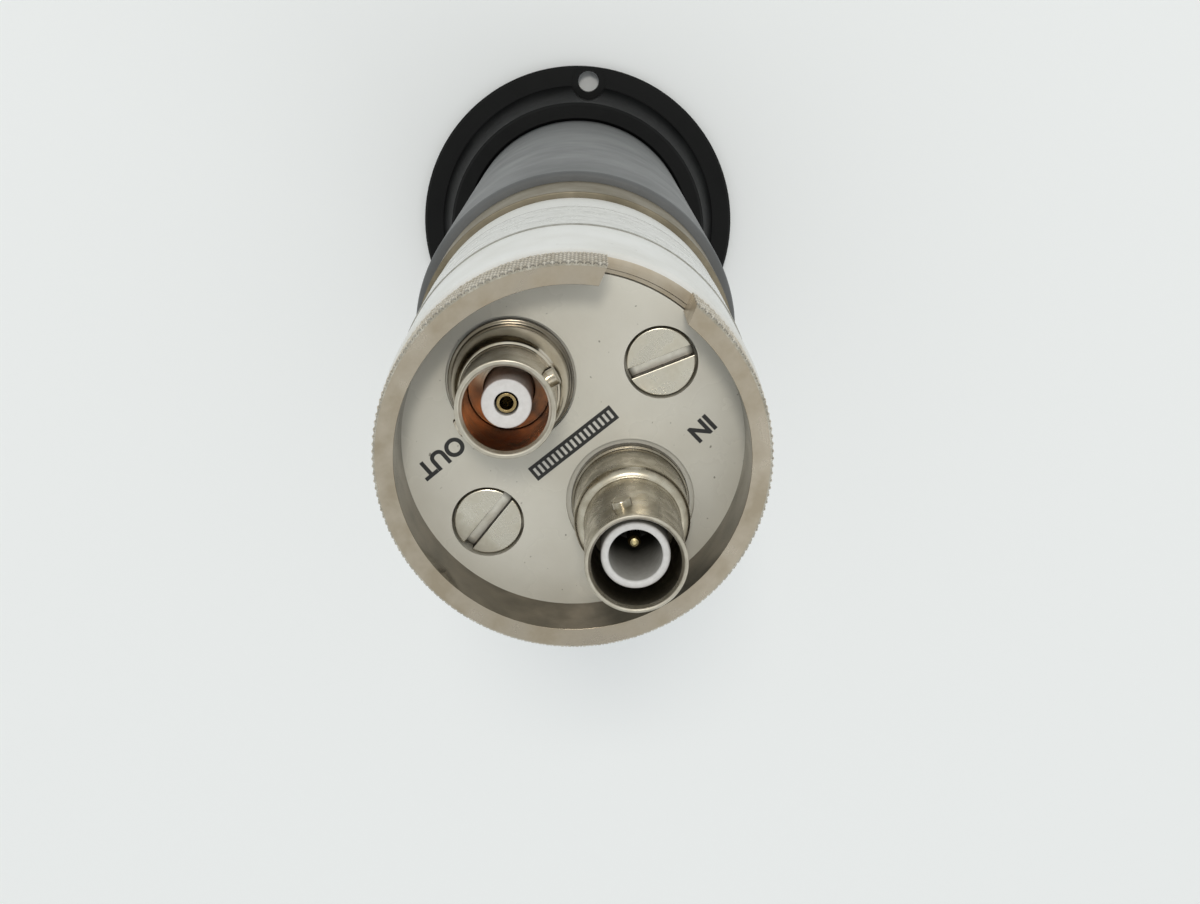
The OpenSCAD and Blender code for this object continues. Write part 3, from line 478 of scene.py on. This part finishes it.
# One turn of glossy tape, with a thin grey line along its long edges
TAPE_LINE = 0.35
tape_low, tape_high = extent("tape_band")
bm = turned([
    (DRUM_R, tape_low.z), (tape_high.x, tape_low.z), (tape_high.x, tape_low.z + TAPE_LINE),
    (tape_high.x, tape_high.z - TAPE_LINE), (tape_high.x, tape_high.z), (DRUM_R, tape_high.z),
], TUBE_STEPS)
for face in bm.faces:
    away = abs(face.calc_center_median().z - (tape_low.z + tape_high.z) / 2)
    face.material_index = int(away > (tape_high.z - tape_low.z) / 2 - TAPE_LINE)
piece("wrapped_tape", bm, tape, tape_edge, stands_for="tape_band")


# Clamp ring: diamond knurl with chamfered ends, key slot, bore and a short spigot

RING_R = 20.0
RING_BORE_R = 17.75
RING_CHAMFER = 0.42
SPIGOT_BORE_R = 18.0
SPIGOT_R = 18.4
RING_TOP = extent("clamp_ring")[1].z
SPIGOT_Z = extent("clamp_ring")[0].z
KNURL_COUNT = 163
KNURL_ROWS = 10
KNURL_DEPTH = 0.3
KNURL_CHAMFER = 0.34
KNURL_WEAR = 0.8
HIGHLIGHT_W = 0.2
RING_EASE = 0.13
SLOT_W = 9.4
SLOT_SINK = 0.4
SLOT_ANGLE = math.radians(202.8)
# Points along each side of a knurl's pitch
FINE = 6


def knurl_height(turns, row):
    """Height of a knurl crossed by two sets of grooves, from 0 in a groove to 1, less the worn tips."""
    rising = abs((turns + row / 2 + 0.5) % 1 - 0.5) * 2
    falling = abs((turns - row / 2 + 0.5) % 1 - 0.5) * 2
    return min(KNURL_WEAR, rising, falling)


rows = KNURL_ROWS * FINE // 2
band = [(RING_R, DRUM_Z + (RING_TOP - DRUM_Z) * row / rows) for row in range(rows + 1)]
SLOT_FLOOR = DRUM_Z - SLOT_SINK
bm = turned(band + [
    (RING_BORE_R, RING_TOP), (RING_BORE_R, DRUM_Z), (SPIGOT_BORE_R, DRUM_Z), (SPIGOT_BORE_R, SLOT_FLOOR),
    (SPIGOT_BORE_R, SPIGOT_Z), (SPIGOT_R, SPIGOT_Z), (SPIGOT_R, SLOT_FLOOR), (SPIGOT_R, DRUM_Z),
], KNURL_COUNT * FINE)
dirt_and_shade = bm.verts.layers.float.new("dirt_and_shade")
grooves = []
for vert in bm.verts:
    if vert.co.xy.length < RING_R - NEAR:
        continue
    turns = math.atan2(vert.co.y, vert.co.x) / math.tau * KNURL_COUNT
    row = (vert.co.z - DRUM_Z) / (RING_TOP - DRUM_Z) * KNURL_ROWS
    height = knurl_height(turns, row)
    cut = (KNURL_WEAR - height) * KNURL_DEPTH / KNURL_WEAR
    eased = max(KNURL_CHAMFER - (vert.co.z - DRUM_Z), RING_CHAMFER - (RING_TOP - vert.co.z))
    vert.co.xy *= (RING_R - max(cut, eased)) / vert.co.xy.length
    # The grooves get the second tone in step with their depth: dirt, and painted shade
    vert[dirt_and_shade] = cut / KNURL_DEPTH if cut > eased else 0
    if height < NEAR and 0 < row < KNURL_ROWS:
        grooves.append(vert)
bmesh.ops.connect_verts(bm, verts=grooves)

# Cut the key slot with two planes down to its floor, then close the cut
slot_turn = Matrix.Rotation(SLOT_ANGLE, 3, "Z")
slot_along = slot_turn @ Vector((1, 0, 0))
slot_across = slot_turn @ Vector((0, 1, 0))
score(bm, slot_across, SLOT_W)
inside = [
    face for face in bm.faces
    if face.calc_center_median().z > SLOT_FLOOR + NEAR
    and abs(face.calc_center_median().dot(slot_across)) < SLOT_W / 2
    and face.calc_center_median().dot(slot_along) > 0
]
bmesh.ops.delete(bm, geom=inside, context="FACES")
open_edges = [edge for edge in bm.edges if edge.is_boundary]
arcs = [
    edge for edge in open_edges
    if all(abs(v.co.z - SLOT_FLOOR) < NEAR for v in edge.verts)
    and any(abs(abs(v.co.dot(slot_across)) - SLOT_W / 2) > NEAR for v in edge.verts)
]
bmesh.ops.bridge_loops(bm, edges=arcs)
for side in (-1, 1):
    rim = [
        edge for edge in bm.edges
        if edge.is_boundary
        and all(abs(v.co.dot(slot_across) - side * SLOT_W / 2) < NEAR for v in edge.verts)
    ]
    bmesh.ops.contextual_create(bm, geom=rim)
bmesh.ops.recalc_face_normals(bm, faces=bm.faces)
round_edges(
    bm, RING_EASE, sharper_than=50,
    chosen=lambda edge: all(v.co.xy.length < RING_R - RING_CHAMFER - 0.05 for v in edge.verts)
    and all(v.co.z > DRUM_Z + 0.05 for v in edge.verts),
)
# The knurl's tips are worn bright and brightened as a painted highlight, its top edge is painted pale as a
# highlight, and the face and the slot's ends are dull:
# finish 0 is the knurl's, 1 the bore's, 2 the face's and the slot ends', and 3 the highlight edge's
for face in bm.faces:
    centre = face.calc_center_median()
    at_slot_end = centre.dot(slot_along) > 0 and abs(abs(centre.dot(slot_across)) - SLOT_W / 2) < NEAR
    if centre.xy.length < RING_BORE_R + 0.03:
        face.material_index = 1
    elif at_slot_end or centre.xy.length < RING_R - RING_CHAMFER:
        face.material_index = 2
    elif centre.z > RING_TOP - HIGHLIGHT_W:
        face.material_index = 3
piece("knurled_ring", bm, knurled_nickel, shaded_ring_bore, nickel_ring, highlight_nickel_rim, stands_for="clamp_ring")


# Plate screws: cheese heads whose slots have a floor painted pale as light, and walls and ends painted dark
# as shade

SCREW_OFFSET = 12.4
SCREW_STEPS = 96
# The side of the plate that each screw is on, and its slot's turn in degrees
SCREW_TURNS = ((1, 8), (-1, -22))
SCREW_TOP = extent("plate_screws")[1].z
SCREW_LOW = extent("plate_screws")[0].z
HEAD_R = 3.5
HEAD_H = 2.6
SHANK_R = 1.95
CUT_W = 1.1
CUT_Z = SCREW_TOP - HEAD_H / 2
# How far the slot's floor, painted pale as light, reaches from the middle of the head before its ends are
# painted dark as shadow
CUT_LIT = 2.75
HEAD_EASE = 0.12


def slotted_screw(turn):
    """A cheese head screw on the Z axis, its slot at a turn in degrees."""
    bm = turned([
        (0, SCREW_LOW), (SHANK_R, SCREW_LOW), (SHANK_R, SCREW_TOP - HEAD_H), (HEAD_R, SCREW_TOP - HEAD_H),
        (HEAD_R, CUT_Z), (HEAD_R, SCREW_TOP), (0, SCREW_TOP),
    ], SCREW_STEPS, closed=False)
    along = Matrix.Rotation(math.radians(turn), 3, "Z") @ Vector((1, 0, 0))
    across = Matrix.Rotation(math.radians(turn), 3, "Z") @ Vector((0, 1, 0))
    score(bm, across, CUT_W)
    inside = [
        face for face in bm.faces
        if face.calc_center_median().z > CUT_Z + NEAR
        and abs(face.calc_center_median().dot(across)) < CUT_W / 2
    ]
    bmesh.ops.delete(bm, geom=inside, context="FACES")
    for side in (-1, 1):
        ends = [
            vert for vert in bm.verts
            if abs(vert.co.z - CUT_Z) < NEAR and abs(vert.co.dot(across) - side * CUT_W / 2) < NEAR
        ]
        bm.edges.new(ends)
        wall = [
            edge for edge in bm.edges
            if len(edge.link_faces) < 2
            and all(abs(v.co.dot(across) - side * CUT_W / 2) < NEAR for v in edge.verts)
        ]
        # The slot's walls are painted dark as shade
        for face in bmesh.ops.contextual_create(bm, geom=wall)["faces"]:
            face.material_index = 1
    level = [
        edge for edge in bm.edges
        if len(edge.link_faces) < 2 and all(abs(v.co.z - CUT_Z) < NEAR for v in edge.verts)
    ]
    # The slot's floor is painted pale as light
    for face in bmesh.ops.contextual_create(bm, geom=level)["faces"]:
        face.material_index = 2
    # The floor is cut where its painted shadow at the ends begins
    for side in (-1, 1):
        flat = [face for face in bm.faces if face.material_index == 2]
        parts = dict.fromkeys(part for face in flat for part in (face, *face.edges, *face.verts))
        bmesh.ops.bisect_plane(
            bm, geom=list(parts), dist=MERGE, plane_co=along * side * CUT_LIT, plane_no=along,
        )
    # The ends of the slot's floor get the second tone as painted shadow
    dirt_and_shade = bm.verts.layers.float.new("dirt_and_shade")
    for vert in bm.verts:
        if abs(vert.co.z - CUT_Z) < NEAR and abs(vert.co.dot(along)) > CUT_LIT + 0.1:
            vert[dirt_and_shade] = 1
    bmesh.ops.recalc_face_normals(bm, faces=bm.faces)
    round_edges(
        bm, HEAD_EASE, sharper_than=50,
        chosen=lambda edge: all(v.co.z > SCREW_TOP - NEAR for v in edge.verts),
    )
    return bm


bm = bmesh.new()
for side, turn in SCREW_TURNS:
    screw = slotted_screw(turn)
    bmesh.ops.translate(screw, vec=(side * SCREW_OFFSET, 0, 0), verts=screw.verts)
    join(bm, screw)
piece("cheese_heads", bm, nickel_screw, shaded_slot_wall, lit_slot_floor, stands_for="plate_screws")


# Coaxial jacks: turned bodies with two bayonet lugs, white insulators, gold contacts

JACK_STEPS = 96
THREAD_R = 4.7
THREAD_LEN = 9.5
RECESS = 0.6
LUG_R = 1.0
LUG_REACH = 0.65
LUG_ROOT = 0.5
LUG_EASE = 0.12
LUG_SETBACK = 3.4
BARREL_EASE = 0.12
# Painted shade lies on a jack up to a height over the plate, and fades in below it
FOOT_TOP = 1.1
FOOT_FADE = 0.9
# The side of a bore's floor that is painted grey as shade, as an angle round Z, and how fast it fades in
FLOOR_SHADE_AT = math.radians(226.3)
FLOOR_SHADE_FADE = 1.3
MOUTH_EASE = 0.24
MOUTH_DEPTH = 0.5
# A bore's finish reaches this far past its wall and this far under its floor
WALL_REACH = 0.025
LIP = 0.1
# Gap between two turned parts of a jack
THIN_GAP = 0.05
# Height of the rim round a mouth that is painted pale as a highlight
RIM_H = 0.15


def shoulder(r0, z0, r1, z1, steps):
    """Points of a convex shoulder between a wide base and a narrow top."""
    quarter = [math.pi / 2 * i / steps for i in range(steps + 1)]
    return [(r1 + (r0 - r1) * math.cos(a), z0 + (z1 - z0) * math.sin(a)) for a in quarter]


def add_lugs(bm, barrel_r, z, angle):
    """Two round lugs that stand out of the barrel, opposite each other."""
    for turn in (0, 180):
        lug = bmesh.new()
        bmesh.ops.create_cone(
            lug, cap_ends=True, cap_tris=False, segments=32, radius1=LUG_R, radius2=LUG_R,
            depth=LUG_REACH + LUG_ROOT,
        )
        round_edges(lug, LUG_EASE, sharper_than=50)
        bmesh.ops.rotate(lug, matrix=Matrix.Rotation(math.pi / 2, 3, "Y"), verts=lug.verts)
        bmesh.ops.translate(lug, vec=(barrel_r + (LUG_REACH - LUG_ROOT) / 2, 0, z), verts=lug.verts)
        bmesh.ops.rotate(lug, matrix=Matrix.Rotation(math.radians(angle + turn), 3, "Z"), verts=lug.verts)
        join(bm, lug)


def mark_inside(bm, radius, lowest, highest):
    """Gives the second finish to a bore between two heights, and the third to the rim over it."""
    for face in bm.faces:
        centre = face.calc_center_median()
        if centre.z > highest:
            face.material_index = 2
        elif centre.xy.length < radius and centre.z > lowest:
            face.material_index = 1


def jack(name, node, section, lugs, bore, finish, bore_finish):
    """A turned jack body on the end plate, with painted shade at its foot, whose bore has a finish of its
    own.
    """
    bm = turned(section, JACK_STEPS)
    round_edges(bm, BARREL_EASE, segments=3, sharper_than=40)
    mark_inside(bm, *bore)
    radius, lowest, _ = bore
    dirt_and_shade = bm.verts.layers.float.new("dirt_and_shade")
    for vert in bm.verts:
        # Painted shade at the foot outside the bore, and one side of the bore's floor painted grey as shade
        if vert.co.xy.length >= radius:
            vert[dirt_and_shade] = min(1, max(0, (FOOT_TOP - vert.co.z) / FOOT_FADE))
        elif vert.co.z < lowest + 2 * LIP:
            away = math.atan2(vert.co.y, vert.co.x) - FLOOR_SHADE_AT
            vert[dirt_and_shade] = min(1, max(0, FLOOR_SHADE_FADE * math.cos(away)))
    add_lugs(bm, *lugs)
    bmesh.ops.translate(bm, vec=middle(node) + Vector((0, 0, PLATE_Z)), verts=bm.verts)
    return piece(name, bm, finish, bore_finish, highlight_nickel_rim, stands_for=node)


SIGNAL_TOP = extent("signal_jack_body")[1].z - PLATE_Z
SIGNAL_BARREL_R = 4.85
SIGNAL_BORE_R = 4.15
SIGNAL_FLANGE_R = 6.45
SIGNAL_FOOT = 0.5
SIGNAL_BASE_R = 6.0
SIGNAL_NECK = 5.2
SIGNAL_CORE_R = 2.45
SIGNAL_FRONT = SIGNAL_TOP - 2.4
SIGNAL_FLOOR = SIGNAL_TOP - 8.5
SIGNAL_LUG_TURN = 166
jack(
    "signal_jack_shell", "signal_jack_body",
    [
        (SIGNAL_CORE_R + THIN_GAP, -THREAD_LEN), (THREAD_R, -THREAD_LEN), (THREAD_R, -RECESS),
        (SIGNAL_FLANGE_R, -RECESS), (SIGNAL_FLANGE_R, SIGNAL_FOOT),
    ]
    + shoulder(SIGNAL_BASE_R, SIGNAL_FOOT, SIGNAL_BARREL_R, SIGNAL_NECK, steps=14)
    + [
        (SIGNAL_BARREL_R, SIGNAL_TOP), (SIGNAL_BORE_R + MOUTH_EASE, SIGNAL_TOP),
        (SIGNAL_BORE_R, SIGNAL_TOP - MOUTH_DEPTH), (SIGNAL_BORE_R, SIGNAL_FLOOR),
        (SIGNAL_CORE_R + THIN_GAP, SIGNAL_FLOOR),
    ],
    (SIGNAL_BARREL_R, SIGNAL_TOP - LUG_SETBACK, SIGNAL_LUG_TURN),
    (SIGNAL_BORE_R + WALL_REACH, SIGNAL_FLOOR - LIP, SIGNAL_TOP - RIM_H), nickel_signal, brown_bore,
)

HV_TOP = extent("hv_jack_body")[1].z - PLATE_Z
HV_BARREL_R = 4.825
HV_BORE_R = 4.25
HV_FLANGE_R = 6.15
HV_FOOT = 0.7
HV_BODY_R = 5.85
HV_BODY_TOP = 6.6
HV_NECK = 7.6
HV_CORE_R = 3.3
HV_SOCKET_R = 2.55
HV_FRONT = HV_TOP - 2.3
HV_FLOOR = HV_TOP - 11
HV_LUG_TURN = 242
jack(
    "hv_jack_shell", "hv_jack_body",
    [
        (HV_CORE_R + THIN_GAP, -THREAD_LEN), (THREAD_R, -THREAD_LEN), (THREAD_R, -RECESS),
        (HV_FLANGE_R, -RECESS), (HV_FLANGE_R, HV_FOOT), (HV_BODY_R, HV_FOOT),
    ]
    + shoulder(HV_BODY_R, HV_BODY_TOP, HV_BARREL_R, HV_NECK, steps=10)
    + [
        (HV_BARREL_R, HV_TOP), (HV_BORE_R + MOUTH_EASE, HV_TOP), (HV_BORE_R, HV_TOP - MOUTH_DEPTH),
        (HV_BORE_R, HV_FLOOR), (HV_CORE_R + THIN_GAP, HV_FLOOR),
    ],
    (HV_BARREL_R, HV_TOP - LUG_SETBACK, HV_LUG_TURN),
    (HV_BORE_R + WALL_REACH, HV_FLOOR - LIP, HV_TOP - RIM_H), nickel_hv, shaded_hv_bore,
)


# Insulators and contacts, each with a bore of its own

# Depth at which a bore's painted shade is as dark as it gets
SHADE_DEPTH = 9.0
CORE_STEPS = 64


def core(name, node, section, eased, bore, *finishes, closed=True):
    """A turned part on a jack's own axis, whose bore gets painted shade that deepens with depth and has its
    own finish.
    """
    bm = turned(section, CORE_STEPS, closed)
    round_edges(bm, eased, segments=3, sharper_than=40)
    mark_inside(bm, *bore)
    radius, _, highest = bore
    dirt_and_shade = bm.verts.layers.float.new("dirt_and_shade")
    # The bore gets painted shade that deepens downwards
    for vert in bm.verts:
        if vert.co.xy.length < radius:
            vert[dirt_and_shade] = min(1, max(0, (highest - vert.co.z) / SHADE_DEPTH))
    bmesh.ops.translate(bm, vec=middle(node) + Vector((0, 0, PLATE_Z)), verts=bm.verts)
    return piece(name, bm, *finishes, stands_for=node)


CONTACT_SEAT = SIGNAL_FRONT - 8
CONTACT_BORE_R = 1.175
TAIL_END = -THREAD_LEN - 3
TAIL_R = 0.4
TAIL_HOLE_R = 0.5
core(
    "signal_jack_core", "signal_jack_insulator",
    [
        (TAIL_HOLE_R, -THREAD_LEN), (SIGNAL_CORE_R, -THREAD_LEN), (SIGNAL_CORE_R, SIGNAL_FRONT),
        (CONTACT_BORE_R, SIGNAL_FRONT), (CONTACT_BORE_R, CONTACT_SEAT), (TAIL_HOLE_R, CONTACT_SEAT),
    ],
    0.14, (CONTACT_BORE_R + WALL_REACH, CONTACT_SEAT - LIP, SIGNAL_FRONT - 2 * LIP), ptfe, shaded_ptfe_bore, ptfe,
)
CONTACT_R = 0.975
CONTACT_HOLE_R = 0.675
CONTACT_FRONT = SIGNAL_FRONT - 0.3
CONTACT_FLOOR = CONTACT_FRONT - 6
core(
    "signal_contact_tube", "signal_jack_contact",
    [
        (0, TAIL_END), (TAIL_R, TAIL_END), (TAIL_R, CONTACT_SEAT), (CONTACT_R, CONTACT_SEAT),
        (CONTACT_R, CONTACT_FRONT), (CONTACT_HOLE_R, CONTACT_FRONT),
        (CONTACT_HOLE_R, CONTACT_FLOOR), (0, CONTACT_FLOOR),
    ],
    0.06, (CONTACT_HOLE_R + WALL_REACH, CONTACT_FLOOR - LIP, CONTACT_FRONT - 0.3),
    # The contact's outside and bore are painted dark as shade, and its rim plain gold
    shaded_gold, shaded_gold, gold, closed=False,
)
HV_SEAT = HV_FRONT - 12
PIN_TAIL_R = 1.0
core(
    "hv_jack_core", "hv_jack_insulator",
    [
        (PIN_TAIL_R + THIN_GAP, -THREAD_LEN), (HV_CORE_R, -THREAD_LEN), (HV_CORE_R, HV_FRONT),
        (HV_SOCKET_R, HV_FRONT), (HV_SOCKET_R, HV_FRONT - SHADE_DEPTH), (HV_SOCKET_R, HV_SEAT),
        (PIN_TAIL_R + THIN_GAP, HV_SEAT),
    ],
    0.24, (HV_SOCKET_R + WALL_REACH, HV_SEAT - LIP, HV_FRONT - 0.5), ptfe, shaded_ptfe_bore, ptfe,
)
PIN_R = 0.65
PIN_TIP = HV_TOP - 6
# The pin narrows to a round tip in four short steps
core(
    "hv_contact_pin", "hv_jack_pin",
    [
        (0, TAIL_END), (PIN_TAIL_R, TAIL_END), (PIN_TAIL_R, HV_SEAT), (PIN_R, HV_SEAT),
        (PIN_R, PIN_TIP - 0.65), (0.58, PIN_TIP - 0.3), (0.4, PIN_TIP - 0.1), (0.2, PIN_TIP), (0, PIN_TIP),
    ],
    # The pin is painted dark as shade and its tip pale as a highlight
    0.02, (0, 0, PIN_TIP - 0.2), shaded_gold, shaded_gold, highlight_gold, closed=False,
)


# Print on the end plate: generic words beside the jacks, and a plain bar with a row of ticks

PRINT_T = 0.02
# Cap height as a share of the font's size, and how far each stroke is fattened
CAP_SHARE = 0.72
STROKE = 0.09


def words(text, cap_height, at, turn):
    """Text as a thin solid mesh on the end plate, centred at a point."""
    curve = bpy.data.curves.new("words", "FONT")
    curve.body = text
    curve.align_x = "CENTER"
    curve.align_y = "CENTER"
    curve.size = cap_height / CAP_SHARE
    curve.extrude = PRINT_T / 2
    curve.offset = STROKE
    carrier = bpy.data.objects.new("words", curve)
    bpy.context.scene.collection.objects.link(carrier)
    bpy.context.view_layer.update()
    flat = bpy.data.meshes.new_from_object(carrier.evaluated_get(bpy.context.evaluated_depsgraph_get()))
    bpy.data.objects.remove(carrier)
    place = Matrix.Translation((at[0], at[1], PLATE_Z + PRINT_T / 2))
    flat.transform(place @ Matrix.Rotation(math.radians(turn), 4, "Z"))
    return flat


def slab(bm, width, depth, at, turn, thickness):
    """A thin rectangular solid on the end plate."""
    made = bmesh.ops.create_cube(bm, size=1)["verts"]
    bmesh.ops.scale(bm, vec=(width, depth, thickness), verts=made)
    bmesh.ops.translate(bm, vec=(at[0], at[1], thickness / 2), verts=made)
    bmesh.ops.rotate(bm, matrix=Matrix.Rotation(math.radians(turn), 3, "Z"), verts=made)
    bmesh.ops.translate(bm, vec=(0, 0, PLATE_Z), verts=made)


WORD_H = 1.9
# Each word, its place on the plate, and its turn in degrees
WORDS = (("OUT", (10.9, -8.4), -4), ("IN", (-10.7, 7.95), 0))
bm = bmesh.new()
for text, at, turn in WORDS:
    bm.from_mesh(words(text, WORD_H, at, turn))
bmesh.ops.remove_doubles(bm, verts=bm.verts, dist=MERGE)
piece("function_words", bm, black_print, slot="cream_enamel")

BAR_W = 10.8
BAR_H = 1.7
BAR_TURN = -4.6
TICKS = 17
TICK_W = 0.3
# Height of a tick as a share of the bar's, and its thickness as a multiple of the print's
TICK_SHARE = 0.56
TICK_LAYER = 1.6
BAR_MARGIN = 0.5
bm = bmesh.new()
slab(bm, BAR_W, BAR_H, (0, 0), BAR_TURN, PRINT_T)
piece("plain_bar", bm, black_print, slot="cream_enamel")
bm = bmesh.new()
for tick in range(TICKS):
    along = (tick - (TICKS - 1) / 2) * (BAR_W - 2 * BAR_MARGIN) / (TICKS - 1)
    slab(bm, TICK_W, BAR_H * TICK_SHARE, (along, 0), BAR_TURN, PRINT_T * TICK_LAYER)
piece("bar_ticks", bm, white_print, slot="cream_enamel")


# Floor, light and background

FLOOR_HALF = 3000.0
SHEET = "#f6f9f8"
SHEET_ROUGHNESS = 0.8
BACKDROP = "#e8eceb"
LOW_WALLS = "#b9b6ad"
# Height on the unit sphere of directions at which the low walls have given way to the backdrop
WALL_TOP = 0.7
DARK_STRIP = "#37302a"
# Where the dark strip fades, as directions to its side and towards the foot of the picture
STRIP_SIDE = (0.025, 0.075)
STRIP_FOOT = (-0.08, 0.14)
DAYLIGHT = "#f4f6f8"
ROOM_LEVEL = 0.75

floor_mesh = bpy.data.meshes.new("floor")
bm = bmesh.new()
bmesh.ops.create_grid(bm, x_segments=1, y_segments=1, size=FLOOR_HALF * MM)
bm.to_mesh(floor_mesh)
bm.free()
floor = bpy.data.objects.new("floor", floor_mesh)
bpy.context.scene.collection.objects.link(floor)
floor_material = bpy.data.materials.new("pale_sheet")
floor_material.use_nodes = True
floor_shader = floor_material.node_tree.nodes["Principled BSDF"]
floor_shader.inputs["Base Color"].default_value = linear(SHEET)
floor_shader.inputs["Roughness"].default_value = SHEET_ROUGHNESS
floor_mesh.materials.append(floor_material)

world = bpy.data.worlds.new("studio")
world.use_nodes = True
bpy.context.scene.world = world
world_tree = world.node_tree
world_output = world_tree.nodes["World Output"]
room_light = world_tree.nodes["Background"]
room_light.inputs["Color"].default_value = linear(DAYLIGHT)
room_light.inputs["Strength"].default_value = ROOM_LEVEL
# Camera, gloss and glass rays see a pale room that darkens towards its floor
light_path = add(world_tree, "ShaderNodeLightPath")
camera_or_gloss = add(world_tree, "ShaderNodeMath", {
    0: light_path.outputs["Is Camera Ray"],
    1: light_path.outputs["Is Glossy Ray"],
}, operation="MAXIMUM")
looking = add(world_tree, "ShaderNodeMath", {
    0: camera_or_gloss.outputs["Value"],
    1: light_path.outputs["Is Transmission Ray"],
}, operation="MAXIMUM")
direction = add(world_tree, "ShaderNodeTexCoord")
height = add(world_tree, "ShaderNodeSeparateXYZ", {"Vector": direction.outputs["Generated"]})
rise = add(world_tree, "ShaderNodeMapRange", {
    "Value": height.outputs["Z"],
    "From Min": 0.0,
    "From Max": WALL_TOP,
})
room_walls = add(world_tree, "ShaderNodeMix", {
    AMOUNT: rise.outputs["Result"],
    FIRST: LOW_WALLS,
    SECOND: BACKDROP,
}, data_type="RGBA")
# A narrow dark strip of the room stands at the foot of the picture, so that polished metal has contrast
PHOTO_UP = Vector((CAMERA_UP.x, CAMERA_UP.y, 0)).normalized()
PHOTO_RIGHT = Vector((PHOTO_UP.y, -PHOTO_UP.x, 0))
side = add(world_tree, "ShaderNodeVectorMath", {
    0: direction.outputs["Generated"],
    1: PHOTO_RIGHT,
}, operation="DOT_PRODUCT")
beside = add(world_tree, "ShaderNodeMath", {0: side.outputs["Value"]}, operation="ABSOLUTE")
ahead = add(world_tree, "ShaderNodeVectorMath", {
    0: direction.outputs["Generated"],
    1: -PHOTO_UP,
}, operation="DOT_PRODUCT")
across = add(world_tree, "ShaderNodeMapRange", {
    "Value": beside.outputs["Value"],
    "From Min": STRIP_SIDE[0],
    "From Max": STRIP_SIDE[1],
    "To Min": 1.0,
    "To Max": 0.0,
}, interpolation_type="SMOOTHSTEP")
down = add(world_tree, "ShaderNodeMapRange", {
    "Value": ahead.outputs["Value"],
    "From Min": STRIP_FOOT[0],
    "From Max": STRIP_FOOT[1],
}, interpolation_type="SMOOTHSTEP")
strip = add(world_tree, "ShaderNodeMath", {
    0: across.outputs["Result"],
    1: down.outputs["Result"],
}, operation="MULTIPLY")
room_colour = add(world_tree, "ShaderNodeMix", {
    AMOUNT: strip.outputs["Value"],
    FIRST: room_walls.outputs[MIXED],
    SECOND: DARK_STRIP,
}, data_type="RGBA")
room_seen = add(world_tree, "ShaderNodeBackground", {
    "Color": room_colour.outputs[MIXED],
    "Strength": 1.0,
})
room = add(world_tree, "ShaderNodeMixShader", {
    0: looking.outputs["Value"],
    1: room_light.outputs["Background"],
    2: room_seen.outputs["Background"],
})
world_tree.links.new(room.outputs["Shader"], world_output.inputs["Surface"])

LAMP_TARGET = Vector((0, 0, PLATE_Z / 2))
WARM = "#fff9f0"


def lamp(name, turn, elevation, distance, width, level, colour="#ffffff"):
    """A soft square lamp, its turn counted from the photograph's top, at a level where 1 is full white."""
    data = bpy.data.lights.new(name, "AREA")
    data.shape = "SQUARE"
    data.size = width
    data.energy = level * (math.pi * distance) ** 2
    data.color = linear(colour)[:3]
    flat = Matrix.Rotation(math.radians(turn), 3, "Z") @ PHOTO_UP
    rise = math.radians(elevation)
    away = flat * math.cos(rise) + Vector((0, 0, math.sin(rise)))
    light = bpy.data.objects.new(name, data)
    light.location = LAMP_TARGET * MM + away * distance
    light.rotation_mode = "QUATERNION"
    light.rotation_quaternion = (-away).to_track_quat("-Z", "Y")
    bpy.context.scene.collection.objects.link(light)


lamp("window_light", turn=-135, elevation=58, distance=1.8, width=0.6, level=0.03)
lamp("ceiling_light", turn=4, elevation=66, distance=1.6, width=0.26, level=0.23, colour=WARM)

view_settings = bpy.context.scene.view_settings
view_settings.view_transform = "Standard"
